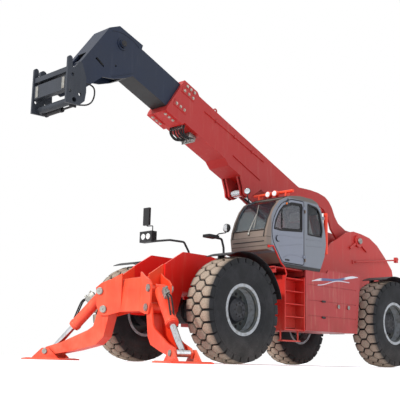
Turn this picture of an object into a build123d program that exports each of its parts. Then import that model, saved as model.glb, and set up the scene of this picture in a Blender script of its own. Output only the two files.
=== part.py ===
from build123d import *
import os
from math import atan2, cos, degrees, hypot, radians, sin

os.makedirs("parts", exist_ok=True)

# Heavy telehandler with front stabilisers, in millimetres.
# X points forward, Y to the left and Z up. The origin lies on the ground, beneath the middle of
# the overall length and width.

# Running gear
wheelbase = 4235
rear_axle_x = -2700
front_axle_x = rear_axle_x + wheelbase
wheel_radius = 800
tyre_width = 500
tyre_y = 1092
bead_radius = 360
rim_width = 406
flange_radius = 388
flange_thickness = 16
rim_wall = 16
hub_radius = 205
spindle_radius = 60
kingpin_y = 720
kingpin_radius = 32
axle_beam = 230
knuckle_radius = 62
knuckle_half = 130
ear_top = 175
ear_gap = 1
axle_half = 640
axle_top = 1080
backing_y = 800
backing_plate = 30
fender_inner_y = tyre_y - tyre_width / 2
hub_back = 150
hub_front = 125
spindle_end = tyre_y + hub_front - 5
fender_clearance = 68
fender_radius = wheel_radius + fender_clearance
fender_thickness = 8
fender_start = 65
fender_end = 166

# Clearances
seat_gap = 0.3
pin_gap = 0.05
move_gap = 6

# Chassis
frame_outer_y = 380
frame_plate = 30
frame_inner_y = frame_outer_y - frame_plate
frame_bottom_z = 690
floor_plate = 20
hitch_pin_radius = 25
nose_start = 765
nose_depth = 345
nose_half = 345
nose_plate = 24
nose_bottom = 741
nose_crown = 1240
deck_z = 1560
deck_depth = 100
deck_plate = 20
deck_rear_x = rear_axle_x + 960
deck_front_x = rear_axle_x + 3300
deck_outer_y = 1100
outrigger_count = 4

# Tank, ladder and engine pod
ladder_front_x = front_axle_x - 1135
ladder_rear_x = ladder_front_x - 530
tank_rear_x = rear_axle_x + 1030
tank_front_x = ladder_rear_x - 20
tank_bottom_z = 570
tank_top_z = 1440
fascia_y = 1140
fascia_plate = 30
ladder_inner_y = 980
ladder_depth = 190
ladder_bottom_z = 550
ladder_height = 880
tread_count = 5
hoop_z = 380
pod_rear_x = rear_axle_x + 1030
pod_front_x = front_axle_x - 1085
pod_inner_y = frame_outer_y + seat_gap
pod_outer_y = 1150
pod_top_z = 1560
hood_front_z = 1800
hood_rear_z = 2050
hood_wall = 20
hood_rear_x = pod_rear_x - 300
hood_front_x = pod_front_x + 60
hood_shoulder = 160
hood_brow = 60
hood_hinge_inset = 10
hood_hinge_rise = 12
hood_hinge_pin = 10
hood_eye_radius = 20
hood_eye_half = 30
hood_post_width = 50

# Cab
cab_inner_y = 420
cab_outer_y = 1180
cab_wall = 40
cab_post = 60
cab_floor_z = deck_z + seat_gap
glass_inset = 10
glass_pane = 6
door_gap = 5
door_hinge_x = rear_axle_x + 2590
door_hinge_y = cab_outer_y + 16
door_hinge_pin = 7
door_knuckle_radius = 14
door_knuckle = 50
door_hinges = (1740, 2560)

# Boom, placed by its rear pivot; s runs along it and n across it
boom_angle = 22
boom_pivot_x = rear_axle_x - 200
boom_pivot_z = 2440
boom_pivot_radius = 65
outer_half_width = 230
outer_bottom = -490
outer_top = 125
outer_wall = 16
outer_rear = 1450
collar_start = 4870
collar_front_top = 5200
collar_front_bottom = 5340
collar_height = 170
neck_plate = 40
inner_half_width = 175
inner_bottom = -430
inner_top = 88
inner_wall = 14
inner_rear = 2100
pad_depth = 25
wear_gap = 0.4
head_start = 6110
head_half_width = 190
head_plate = 26

# Lift cylinder
lift_base_x = rear_axle_x + 100
lift_base_z = 1650
lift_pin_s = 3120
lift_pin_n = -710
lift_barrel_radius = 118
lift_rod_radius = 62
lift_pin_radius = 45
lift_eye_radius = 76
lift_lug_y = 120
lift_lug_plate = 32

# Carriage
carriage_pivot_x = rear_axle_x + 6700
carriage_pivot_z = 3900
tilt_pin_x = rear_axle_x + 6720
tilt_pin_z = 4130
tilt_base_s = 6505
tilt_base_n = -106
tilt_pin_radius = 35
tilt_eye_half = 60
tilt_slot = 100
carriage_pin_radius = 40
carriage_half = 430
carriage_plate = 35
carriage_hook_radius = 38
carriage_heel_radius = 42
carriage_hole_radius = 25
hook_lug_radius = 55
hook_lug_y = -270
hook_lug_half = 25
lock_pin_radius = 35

# Fittings
boss_radius = 120
keeper_width = 44
keeper_reach = 230
keeper_plate = 14
tail_lamp_radius = 15
lifting_eye_s = 4350
lifting_eye_radius = 46
lifting_eye_hole = 27
lifting_eye_plate = 16
head_boss_radius = 100
head_boss_cap = 66
louvre_height = 22
louvre_pitch = 62
louvre_count = 7
groove_height = 14
groove_depth = 8
roof_bar_radius = 26
roof_bar_x = rear_axle_x + 2950
roof_bar_z = 2835
roof_bar_half = 420
work_lamp_radius = 52
guard_tube_radius = 36
guard_tube_x = rear_axle_x + 1930
guard_tube_y = 1136
handrail_radius = 12
handrail_y = cab_outer_y + 16

# Stabilisers
leg_pivot_x = front_axle_x + 1063
leg_pivot_y = 554
leg_pivot_z = 781
leg_splay = 21.6
leg_reach = 1008
leg_plate = 26
leg_half = 132
leg_gap_half = 140
leg_pin_radius = 35
cylinder_pin_u = 76
cylinder_pin_w = 277
leg_barrel_radius = 88
leg_barrel_end = 760
leg_rod_radius = 48
leg_rod_start = 500
leg_eye_radius = 48
pad_pin_height = 130
pad_half = 300
pad_lug = 150
pad_plate = 26


def boom_point(s, n):
    """Side-view point (x, z) of a place given along and across the boom."""
    a = radians(boom_angle)
    x = boom_pivot_x + s * cos(a) - n * sin(a)
    z = boom_pivot_z + s * sin(a) + n * cos(a)
    return x, z


boom_side = Plane(
    origin=(boom_pivot_x, 0, boom_pivot_z),
    x_dir=(cos(radians(boom_angle)), 0, sin(radians(boom_angle))),
    z_dir=(0, -1, 0),
)


def side_plane(y):
    """Plane of a side view at the given Y: local x is X and local y is Z, normal to the right."""
    return Plane(origin=(0, y, 0), x_dir=(1, 0, 0), z_dir=(0, -1, 0))


def save(piece, name):
    """Label a finished piece and write its STEP file."""
    piece.part.label = name
    export_step(piece.part, "parts/" + name + ".step")


def tube(points, radius, bend):
    """Round tube along a bent route, added to the part being built."""
    with BuildLine() as route:
        FilletPolyline(*points, radius=bend)
    with BuildSketch(Plane(origin=points[0], z_dir=Vector(points[1]) - Vector(points[0]))) as section:
        Circle(radius)
    sweep(section.sketch, path=route.line)


# Wheels
wheels = [
    # name, axle x, side
    ("front_left", front_axle_x, 1),
    ("front_right", front_axle_x, -1),
    ("rear_left", rear_axle_x, 1),
    ("rear_right", rear_axle_x, -1),
]

half_tyre = tyre_width / 2
half_rim = rim_width / 2
bead_x = half_rim - flange_thickness - seat_gap
sidewall_radius = 600
shoulder_radius = wheel_radius - 60
barrel_inner = bead_radius - rim_wall

for name, axle_x, side in wheels:
    centre = (axle_x, side * tyre_y, wheel_radius)
    # local x points outwards along the axle, local y upwards
    spin_plane = Plane(origin=centre, x_dir=(0, side, 0), z_dir=(side, 0, 0))
    spin_axis = Axis(centre, (0, 1, 0))

    with BuildPart() as tyre:
        with BuildSketch(spin_plane):
            with BuildLine():
                Polyline(
                    (0, bead_radius + seat_gap),
                    (bead_x, bead_radius + seat_gap),
                    (bead_x, flange_radius + 8),
                    (half_tyre - 8, sidewall_radius - 110),
                    (half_tyre, sidewall_radius),
                    (half_tyre - 12, shoulder_radius),
                    (half_tyre - 55, wheel_radius),
                    (0, wheel_radius),
                    close=True,
                )
            make_face()
            mirror(about=Plane.YZ)
        revolve(axis=spin_axis)
    save(tyre, "tyre_" + name)

    with BuildPart() as rim:
        with BuildSketch(spin_plane):
            with BuildLine():
                Polyline(
                    (-half_rim, flange_radius),
                    (-half_rim, barrel_inner),
                    (half_rim, barrel_inner),
                    (half_rim, flange_radius),
                    (half_rim - flange_thickness, flange_radius),
                    (half_rim - flange_thickness, bead_radius),
                    (-half_rim + flange_thickness, bead_radius),
                    (-half_rim + flange_thickness, flange_radius),
                    close=True,
                )
            make_face()
            with BuildLine():
                Polyline(
                    (-30, barrel_inner + 2),
                    (-30, hub_radius),
                    (-hub_back, hub_radius),
                    (-hub_back, spindle_radius + pin_gap),
                    (hub_front, spindle_radius + pin_gap),
                    (hub_front, 120),
                    (hub_front - 40, hub_radius - 30),
                    (0, hub_radius),
                    (0, barrel_inner + 2),
                    close=True,
                )
            make_face()
        revolve(axis=spin_axis)
    save(rim, "rim_" + name)

    # Steering knuckle with its kingpin, spindle, backing plate and mudguard
    pin_centre = (axle_x, side * kingpin_y, wheel_radius)
    knuckle_plane = Plane(
        origin=(axle_x, 0, wheel_radius), x_dir=(1, 0, 0), z_dir=(0, side, 0)
    )
    with BuildPart() as knuckle:
        with BuildSketch(Plane(origin=pin_centre)):
            Circle(knuckle_radius)
        extrude(amount=knuckle_half, both=True)
        with BuildSketch(Plane(origin=pin_centre)):
            Circle(kingpin_radius)
        extrude(amount=ear_top - 2, both=True)
        with BuildSketch(knuckle_plane.offset(kingpin_y)):
            Circle(95)
        extrude(amount=backing_y + backing_plate - kingpin_y)
        with BuildSketch(knuckle_plane.offset(kingpin_y)):
            Circle(spindle_radius)
        extrude(amount=spindle_end - kingpin_y)
        with BuildSketch(knuckle_plane.offset(backing_y)):
            Circle(170)
            up = 1 if side < 0 else -1
            with Locations((0, up * fender_radius / 2)):
                Rectangle(120, fender_radius)
        extrude(amount=backing_plate)
        with BuildSketch(knuckle_plane.offset(backing_y)):
            with Locations((0, up * (fender_radius - 2 * fender_thickness))):
                Rectangle(120, 2 * fender_thickness)
        extrude(amount=fender_inner_y + 20 - backing_y)
        with BuildSketch(side_plane(side * fender_inner_y)):
            with BuildLine():
                a0, a1 = radians(fender_start), radians(fender_end)
                am = (a0 + a1) / 2
                inner = fender_radius - fender_thickness
                ThreePointArc(
                    *[
                        (axle_x + fender_radius * cos(a), wheel_radius + fender_radius * sin(a))
                        for a in (a0, am, a1)
                    ]
                )
                Line(
                    (axle_x + fender_radius * cos(a1), wheel_radius + fender_radius * sin(a1)),
                    (axle_x + inner * cos(a1), wheel_radius + inner * sin(a1)),
                )
                ThreePointArc(
                    *[
                        (axle_x + inner * cos(a), wheel_radius + inner * sin(a))
                        for a in (a1, am, a0)
                    ]
                )
                Line(
                    (axle_x + inner * cos(a0), wheel_radius + inner * sin(a0)),
                    (axle_x + fender_radius * cos(a0), wheel_radius + fender_radius * sin(a0)),
                )
            make_face()
        extrude(amount=-side * (tyre_width + 4))
    save(knuckle, "knuckle_" + name)

# Axles: beam, differential and the forked ends that hold the kingpins
for name, axle_x in (("front", front_axle_x), ("rear", rear_axle_x)):
    with BuildPart() as axle:
        with Locations((axle_x, 0, wheel_radius)):
            Box(axle_beam, 2 * axle_half, axle_beam)
            Cylinder(190, 300, rotation=(90, 0, 0))
        for side in (1, -1):
            with Locations((axle_x, side * (axle_half - 10), wheel_radius)):
                Box(axle_beam, 40, 2 * ear_top)
            for up in (1, -1):
                middle = (ear_top + knuckle_half + ear_gap) / 2
                with Locations((axle_x, side * kingpin_y, wheel_radius + up * middle)):
                    Cylinder(knuckle_radius, ear_top - knuckle_half - ear_gap)
                with Locations(
                    (axle_x, side * (kingpin_y + axle_half) / 2, wheel_radius + up * middle)
                ):
                    Box(
                        2 * knuckle_radius,
                        kingpin_y - axle_half,
                        ear_top - knuckle_half - ear_gap,
                    )
            with Locations((axle_x, side * kingpin_y, wheel_radius)):
                Cylinder(kingpin_radius + pin_gap, 2 * ear_top, mode=Mode.SUBTRACT)
        # spring seats up to the chassis floor
        for side in (1, -1):
            with Locations((axle_x, side * 260, (wheel_radius + axle_beam / 2 + axle_top) / 2)):
                Box(160, 120, axle_top - wheel_radius - axle_beam / 2)
    save(axle, "axle_" + name)

# Chassis: two tall side plates joined by a floor and cross webs
nose_x = front_axle_x + nose_start
tail_x = rear_axle_x - 1480
nose_top = 1290 + 400 * (1065 - nose_start) / 680
hood_hinges = (rear_axle_x + 1500, rear_axle_x + 2900)
hood_slope = (hood_rear_z - hood_front_z) / (
    hood_front_x - hood_brow - hood_rear_x - hood_shoulder
)


def hood_hinge_plane(x, along=0):
    """Plane across the hood's hinge pin at x, moved along the pin: local x points to the right."""
    z = hood_front_z + (hood_front_x - hood_brow - x) * hood_slope + hood_hinge_rise
    pin = Vector(-1, 0, hood_slope).normalized()
    origin = Vector(x, -frame_outer_y + hood_hinge_inset, z) + pin * along
    return Plane(origin=origin, x_dir=(0, -1, 0), z_dir=pin)


cheek = [
    # (x from the rear axle, z), from the nose along the top to the tail and back below
    (wheelbase + nose_start, 720),
    (wheelbase + nose_start, nose_top),
    (wheelbase + 385, 1690),
    (wheelbase - 200, 1690),
    (3300, 1560),
    (1500, 1560),
    (700, 2300),
    (168, 2570),
    (-60, 2620),
    (-340, 2600),
    (-627, 2558),
    (-912, 2432),
    (-1205, 2210),
    (-1455, 1980),
    (-1490, 1846),
    (-1480, 1150),
    (-1150, 900),
    (-500, 900),
    (-380, 1080),
    (380, 1080),
    (500, frame_bottom_z),
    (wheelbase - 500, frame_bottom_z),
    (wheelbase - 380, 1080),
    (wheelbase + 380, 1080),
    (wheelbase + 500, 720),
]
with BuildPart() as chassis_frame:
    for side in (1, -1):
        with BuildSketch(side_plane(side * frame_inner_y)):
            with BuildLine():
                Polyline([(rear_axle_x + x, z) for x, z in cheek], close=True)
            make_face()
            with Locations((boom_pivot_x, boom_pivot_z)):
                Circle(boom_pivot_radius + pin_gap, mode=Mode.SUBTRACT)
        extrude(amount=-side * frame_plate)
        # boss around the boom's pivot
        with BuildSketch(side_plane(side * frame_outer_y)):
            with Locations((boom_pivot_x, boom_pivot_z)):
                Circle(boss_radius)
                Circle(boom_pivot_radius + pin_gap, mode=Mode.SUBTRACT)
        extrude(amount=-side * 40)
        # keeper bars that run down from the boss
        for turn in (-30, -150):
            with BuildSketch(side_plane(side * frame_outer_y)) as keeper:
                with Locations(Location((boom_pivot_x, boom_pivot_z, 0), (0, 0, turn))):
                    with Locations((boss_radius - 10, 0)):
                        Rectangle(keeper_reach, keeper_width, align=(Align.MIN, Align.CENTER))
            extrude(keeper.sketch, amount=keeper_plate, dir=(0, side, 0))
        # lugs of the lift cylinder's base pin
        with BuildSketch(side_plane(side * lift_lug_y)):
            with BuildLine():
                Polyline(
                    (lift_base_x - 150, 1100),
                    (lift_base_x - 150, lift_base_z),
                    (lift_base_x - 60, lift_base_z + 120),
                    (lift_base_x + 60, lift_base_z + 120),
                    (lift_base_x + 150, lift_base_z),
                    (lift_base_x + 150, 1100),
                    close=True,
                )
            make_face()
            with Locations((lift_base_x, lift_base_z)):
                Circle(lift_pin_radius + pin_gap, mode=Mode.SUBTRACT)
        extrude(amount=-side * lift_lug_plate)
    # floor stretches at the axles and between them
    floors = [
        # x start, x end, floor z (from the rear axle)
        (-1480, -450, 1150),
        (-450, 450, axle_top),
        (450, wheelbase - 450, 760),
        (wheelbase - 450, wheelbase + 450, axle_top),
        (wheelbase + 450, wheelbase + nose_start, 760),
    ]
    for x0, x1, z in floors:
        with Locations((rear_axle_x + (x0 + x1) / 2, 0, z)):
            Box(x1 - x0, 2 * frame_inner_y, floor_plate, align=(Align.CENTER, Align.CENTER, Align.MIN))
    for x, z0, z1 in (
        (-1470, 1150, 1900),
        (-450, 1080, 1300),
        (450, 760, 1300),
        (wheelbase - 450, 760, 1300),
        (wheelbase + 450, 760, 1300),
        (wheelbase + nose_start - 10, 760, 1240),
    ):
        with Locations((rear_axle_x + x, 0, z0)):
            Box(20, 2 * frame_inner_y, z1 - z0, align=(Align.CENTER, Align.CENTER, Align.MIN))
    # posts with eyes for the hood's hinge
    for x in hood_hinges:
        post_top = hood_hinge_plane(x).origin.Z
        with Locations((x, -frame_inner_y, deck_z - 20)):
            Box(
                hood_post_width, 20, post_top - deck_z + 15,
                align=(Align.CENTER, Align.MAX, Align.MIN),
            )
        with BuildSketch(hood_hinge_plane(x, -hood_eye_half)):
            Circle(hood_eye_radius)
        extrude(amount=2 * hood_eye_half)
        with BuildSketch(hood_hinge_plane(x, -hood_eye_half - 5)):
            Circle(hood_hinge_pin + pin_gap)
        extrude(amount=2 * hood_eye_half + 10, mode=Mode.SUBTRACT)
    # deck beside the left plate, on outriggers, for the cab
    deck_width = deck_outer_y - frame_outer_y + 10
    with Locations((deck_rear_x, frame_outer_y - 10, deck_z - deck_plate)):
        Box(deck_front_x - deck_rear_x, deck_width, deck_plate, align=(Align.MIN,) * 3)
    for i in range(outrigger_count):
        x = deck_rear_x + 40 + i * (deck_front_x - deck_rear_x - 100) / (outrigger_count - 1)
        with Locations((x, frame_outer_y - 10, deck_z - deck_depth)):
            Box(20, deck_width, deck_depth - deck_plate / 2, align=(Align.MIN,) * 3)
    # tow hitch at the tail
    with Locations((tail_x - 75, 0, 1230)):
        Box(150, 180, 30)
    with Locations((tail_x - 75, 0, 1370)):
        Box(150, 180, 30)
    with Locations((tail_x - 90, 0, 1300)):
        Cylinder(hitch_pin_radius, 220, mode=Mode.SUBTRACT)
    # arm and lamp behind the left cheek
    lamp_y = frame_outer_y + 45
    lamp_x, lamp_z = rear_axle_x - 1550, 2200
    tube(
        [
            (rear_axle_x - 40, frame_outer_y - 10, 2010), (rear_axle_x - 60, lamp_y, 2015),
            (lamp_x, lamp_y, lamp_z),
        ],
        tail_lamp_radius, 18,
    )
    with Locations((rear_axle_x - 40, frame_outer_y + 8, 2010)):
        Box(90, 20, 70)
    with Locations((lamp_x, lamp_y, lamp_z)):
        Box(70, 60, 110)
        with Locations((-35, 0, 20)):
            Cylinder(32, 30, rotation=(0, 90, 0))
save(chassis_frame, "chassis_frame")

# Nose: crossmember, sloping cover and the splayed plates that carry the stabiliser legs
splay = radians(leg_splay)


def leg_plane(side, forward=0):
    """Swing plane of a leg, moved forward: local x points outwards and local y up."""
    out = Vector(sin(splay), side * cos(splay), 0)
    front = Vector(cos(splay), -side * sin(splay), 0)
    origin = Vector(leg_pivot_x, side * leg_pivot_y, leg_pivot_z) + front * forward
    return Plane(origin=origin, x_dir=out, z_dir=out.cross(Vector(0, 0, 1)))


def leg_extrude(side, amount):
    """Extrusion length along a leg plane's normal for a distance towards the front."""
    return side * amount


def leg_symmetric(half):
    extrude(amount=half, both=True)


head_outline = [
    # (outwards, up) from the leg's pivot
    (-300, -40),
    (-60, -95),
    (60, -95),
    (130, 60),
    (150, 330),
    (60, 400),
    (-120, 460),
    (-300, 545),
]
with BuildPart() as nose_frame:
    with BuildSketch(side_plane(nose_half)):
        with BuildLine():
            Polyline(
                (nose_x + seat_gap, nose_bottom),
                (nose_x + nose_depth, nose_bottom),
                (nose_x + nose_depth - 30, nose_bottom + 340),
                (nose_x + nose_depth - 60, nose_crown),
                (nose_x + seat_gap, nose_crown + 60),
                close=True,
            )
        make_face()
    extrude(amount=2 * nose_half)
    # sloping cheeks that run on from the side plates
    for side in (1, -1):
        with BuildSketch(side_plane(side * nose_half)):
            with BuildLine():
                Polyline(
                    (nose_x + seat_gap, nose_crown),
                    (nose_x + nose_depth - 60, nose_crown - 20),
                    (nose_x + nose_depth - 60, nose_crown + 50),
                    (nose_x + seat_gap, nose_top),
                    close=True,
                )
            make_face()
        extrude(amount=side * nose_plate)
        for rear_face in (leg_gap_half, -leg_gap_half - leg_plate):
            with BuildSketch(leg_plane(side, rear_face)):
                with BuildLine():
                    Polyline(head_outline, close=True)
                make_face()
                with Locations((0, 0), (cylinder_pin_u, cylinder_pin_w)):
                    Circle(leg_pin_radius + pin_gap, mode=Mode.SUBTRACT)
            extrude(amount=leg_extrude(side, leg_plate))
save(nose_frame, "nose_frame")

# Stabiliser legs
leg_length = hypot(leg_reach, leg_pivot_z - pad_pin_height)
leg_angle = degrees(atan2(pad_pin_height - leg_pivot_z, leg_reach))
cylinder_angle = degrees(
    atan2(pad_pin_height - leg_pivot_z - cylinder_pin_w, leg_reach - cylinder_pin_u)
)
cylinder_length = hypot(
    pad_pin_height - leg_pivot_z - cylinder_pin_w, leg_reach - cylinder_pin_u
)
leg_outline = [
    # (along, across) from the pivot towards the foot pin
    (49, 92),
    (298, -115),
    (411, -115),
    (905, -22),
    (leg_length - 30, 62),
    (leg_length + 50, 45),
    (leg_length + 62, -40),
    (leg_length - 100, -115),
    (758, -256),
    (399, -380),
    (229, -350),
    (-80, -60),
    (-70, 70),
]

for name, side in (("left", 1), ("right", -1)):
    base = leg_plane(side)
    along = Plane(
        origin=base.origin,
        x_dir=base.from_local_coords(
            Vector(cos(radians(leg_angle)), sin(radians(leg_angle)), 0)
        )
        - base.origin,
        z_dir=base.z_dir,
    )
    with BuildPart() as leg:
        for front_face in (leg_half, -leg_half + leg_plate):
            with BuildSketch(along.offset(side * front_face)):
                with BuildLine():
                    Polyline(leg_outline, close=True)
                make_face()
            extrude(amount=leg_extrude(side, -leg_plate))
        # web along the hollow of the knee
        with BuildSketch(along):
            with BuildLine():
                Polyline(
                    (-80, -60), (229, -350), (399, -380), (758, -256),
                    (leg_length - 150, -130), (leg_length - 150, -106), (758, -232),
                    (402, -356), (236, -328), (-62, -42), close=True,
                )
            make_face()
            Circle(80)
        leg_symmetric(leg_half - 2)
        # pivot pin and foot pin
        with BuildSketch(along):
            Circle(leg_pin_radius)
        leg_symmetric(leg_gap_half + leg_plate + 12)
        for end in (1, -1):
            with BuildSketch(along.offset(end * (leg_half - leg_plate))):
                with Locations((leg_length, 0)):
                    Circle(leg_pin_radius)
            extrude(amount=end * (pad_lug + pad_plate + 10 - leg_half + leg_plate))
    save(leg, "leg_" + name)

    # foot pad, level with the ground
    foot_origin = base.from_local_coords(Vector(leg_reach, pad_pin_height - leg_pivot_z, 0))
    foot = Plane(origin=foot_origin, x_dir=base.x_dir, z_dir=base.z_dir)
    with BuildPart() as pad:
        with BuildSketch(foot):
            with BuildLine():
                Polyline(
                    (-350, -pad_pin_height), (350, -pad_pin_height), (350, -pad_pin_height + 18),
                    (250, -pad_pin_height + 30), (-250, -pad_pin_height + 30),
                    (-350, -pad_pin_height + 18), close=True,
                )
            make_face()
        leg_symmetric(pad_half)
        for front_face in (pad_lug + pad_plate, -pad_lug):
            with BuildSketch(foot.offset(side * front_face)):
                with BuildLine():
                    Polyline(
                        (-250, -pad_pin_height + 20), (250, -pad_pin_height + 20), (60, 50),
                        (-60, 50), close=True,
                    )
                make_face()
                Circle(leg_pin_radius + pin_gap, mode=Mode.SUBTRACT)
            extrude(amount=leg_extrude(side, -pad_plate))
    save(pad, "pad_" + name)

    # cylinder between the head's upper pin and the foot
    top = base.from_local_coords(Vector(cylinder_pin_u, cylinder_pin_w, 0))
    direction = base.from_local_coords(
        Vector(cos(radians(cylinder_angle)), sin(radians(cylinder_angle)), 0)
    ) - base.origin
    ram = Plane(origin=top, x_dir=direction, z_dir=base.z_dir)
    ram_axis = Plane(origin=top, x_dir=base.z_dir, z_dir=direction)
    with BuildPart() as barrel:
        with BuildSketch(ram):
            Circle(62)
        leg_symmetric(70)
        with BuildSketch(ram):
            Circle(leg_pin_radius)
        leg_symmetric(leg_gap_half + leg_plate + 12)
        with BuildSketch(ram_axis.offset(50)):
            Circle(leg_barrel_radius)
        extrude(amount=leg_barrel_end - 50)
        with BuildSketch(ram_axis.offset(100)):
            Circle(leg_rod_radius + pin_gap)
        extrude(amount=leg_barrel_end, mode=Mode.SUBTRACT)
    save(barrel, "leg_barrel_" + name)
    with BuildPart() as rod:
        with BuildSketch(ram_axis.offset(leg_rod_start)):
            Circle(leg_rod_radius)
        extrude(amount=cylinder_length - leg_eye_radius + 15 - leg_rod_start)
        with BuildSketch(ram):
            with Locations((cylinder_length, 0)):
                Circle(leg_eye_radius)
        leg_symmetric(leg_half - leg_plate - move_gap)
    save(rod, "leg_rod_" + name)

# Left side: tank with its fascia, and the ladder beside it
with BuildPart() as side_tank:
    with Locations(((tank_rear_x + tank_front_x) / 2 + 50, 0, tank_bottom_z)):
        with Locations((0, (frame_outer_y + seat_gap + fascia_y) / 2, 0)):
            Box(
                tank_front_x - tank_rear_x - 100,
                fascia_y - frame_outer_y - seat_gap,
                tank_top_z - tank_bottom_z,
                align=(Align.CENTER, Align.CENTER, Align.MIN),
            )
    with BuildSketch(side_plane(fascia_y)):
        with BuildLine():
            Polyline(
                (tank_rear_x + 20, tank_bottom_z), (tank_front_x, tank_bottom_z),
                (tank_front_x, deck_z), (tank_front_x - 600, deck_z),
                (tank_front_x - 640, deck_z + 50), (tank_rear_x - 100, deck_z + 60),
                close=True,
            )
        make_face()
    extrude(amount=-fascia_plate)
    # pressed grooves and the filler's recess
    for z in (820, 1070, 1330):
        with Locations(((tank_rear_x + tank_front_x) / 2, fascia_y + fascia_plate, z)):
            Box(
                tank_front_x - tank_rear_x - 120, 2 * groove_depth, groove_height, mode=Mode.SUBTRACT
            )
    for x in (1000, 1300):
        with Locations((rear_axle_x + x + 330, fascia_y + fascia_plate, 1010)):
            Cylinder(34, 24, rotation=(90, 0, 0))
save(side_tank, "side_tank")

with BuildPart() as ladder:
    for x in (ladder_rear_x, ladder_front_x - 20):
        with Locations((x, ladder_inner_y, ladder_bottom_z)):
            Box(20, ladder_depth, ladder_height, align=(Align.MIN, Align.MIN, Align.MIN))
    with Locations((ladder_rear_x, frame_outer_y + seat_gap, ladder_bottom_z + 60)):
        Box(
            ladder_front_x - ladder_rear_x,
            ladder_inner_y + 6 - frame_outer_y - seat_gap,
            ladder_height - 60,
            align=(Align.MIN, Align.MIN, Align.MIN),
        )
    for i in range(tread_count):
        z = ladder_bottom_z + 10 + i * (ladder_height - 60) / (tread_count - 1)
        with Locations((ladder_rear_x + 10, ladder_inner_y, z)):
            Box(
                ladder_front_x - ladder_rear_x - 20, ladder_depth - 10, 14,
                align=(Align.MIN, Align.MIN, Align.MIN),
            )
    # hanging step
    for x in (ladder_rear_x + 30, ladder_front_x - 50):
        with Locations((x, ladder_inner_y + 60, hoop_z)):
            Box(20, 20, ladder_bottom_z + 20 - hoop_z, align=(Align.MIN, Align.MIN, Align.MIN))
    with Locations((ladder_rear_x + 30, ladder_inner_y + 20, hoop_z)):
        Box(ladder_front_x - ladder_rear_x - 60, 100, 20, align=(Align.MIN, Align.MIN, Align.MIN))
    # handrail from the front stile past the door's lower corner to the cab's front
    tube(
        [
            (ladder_front_x - 10, ladder_inner_y + ladder_depth - 6, 1380),
            (ladder_front_x - 10, handrail_y, 1440), (ladder_front_x + 40, handrail_y, 1545),
            (rear_axle_x + 3240, handrail_y, 1612), (rear_axle_x + 3432, handrail_y, 1862),
            (rear_axle_x + 3540, handrail_y, 1845),
        ],
        handrail_radius, 22,
    )
    with Locations((rear_axle_x + 3530, cab_outer_y + seat_gap, 1845)):
        Box(40, 20, 40, align=(Align.CENTER, Align.MIN, Align.CENTER))
save(ladder, "ladder")

# Right side: engine pod, engine and its hood
with BuildPart() as engine_pod:
    with Locations(((pod_rear_x + pod_front_x) / 2, -(pod_inner_y + pod_outer_y) / 2, 620)):
        Box(
            pod_front_x - pod_rear_x, pod_outer_y - pod_inner_y, pod_top_z - 620,
            align=(Align.CENTER, Align.CENTER, Align.MIN),
        )
        with Locations((0, 0, 40)):
            Box(
                pod_front_x - pod_rear_x - 60, pod_outer_y - pod_inner_y - 60, pod_top_z,
                align=(Align.CENTER, Align.CENTER, Align.MIN), mode=Mode.SUBTRACT,
            )
    for x in (-560, 560):
        for i in range(louvre_count):
            z = 800 + i * louvre_pitch
            with Locations(((pod_rear_x + pod_front_x) / 2 + x, -pod_outer_y, z)):
                Box(700, 80, louvre_height, mode=Mode.SUBTRACT)
save(engine_pod, "engine_pod")
with BuildPart() as engine_block:
    with Locations(((pod_rear_x + pod_front_x) / 2, -(pod_inner_y + pod_outer_y) / 2, 660 + seat_gap)):
        Box(1500, 520, 880, align=(Align.CENTER, Align.CENTER, Align.MIN))
save(engine_block, "engine_block")

hood_base_z = pod_top_z + move_gap
hood_outline = [
    (hood_rear_x, hood_base_z),
    (hood_front_x, hood_base_z),
    (hood_front_x, hood_front_z - hood_brow),
    (hood_front_x - hood_brow, hood_front_z),
    (hood_rear_x + hood_shoulder, hood_rear_z),
    (hood_rear_x, hood_rear_z - hood_shoulder),
]
with BuildPart() as engine_hood:
    with BuildSketch(side_plane(-pod_inner_y - move_gap)):
        with BuildLine():
            Polyline(hood_outline, close=True)
        make_face()
    extrude(amount=pod_outer_y - pod_inner_y - move_gap)
    offset(
        amount=-hood_wall,
        openings=engine_hood.faces().sort_by(Axis.Z)[0],
        kind=Kind.INTERSECTION,
    )
    # louvres in the outer wall and in the rear wall
    for i in range(louvre_count - 4):
        z = hood_base_z + 90 + i * louvre_pitch
        for x in (-350, 450):
            with Locations(((pod_rear_x + pod_front_x) / 2 + x, -pod_outer_y, z)):
                Box(700, 3 * hood_wall, louvre_height, mode=Mode.SUBTRACT)
        with Locations((hood_rear_x, -(pod_inner_y + pod_outer_y) / 2, z)):
            Box(3 * hood_wall, 520, louvre_height, mode=Mode.SUBTRACT)
    # lugs either side of each post's eye, with the hinge pin
    for x in hood_hinges:
        for end in (1, -1):
            with BuildSketch(hood_hinge_plane(x, end * (hood_eye_half + 1))):
                Circle(hood_eye_radius - 2)
            extrude(amount=end * hood_eye_half)
        with BuildSketch(hood_hinge_plane(x, -hood_eye_half - 2)):
            Circle(hood_hinge_pin)
        extrude(amount=2 * hood_eye_half + 4)
        for end in (1, -1):
            with Locations(hood_hinge_plane(x, end * (1.5 * hood_eye_half + 1))):
                Box(
                    2 * hood_hinge_inset + 24, 14, hood_eye_half,
                    align=(Align.MIN, Align.MAX, Align.CENTER),
                )
save(engine_hood, "engine_hood")

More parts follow.
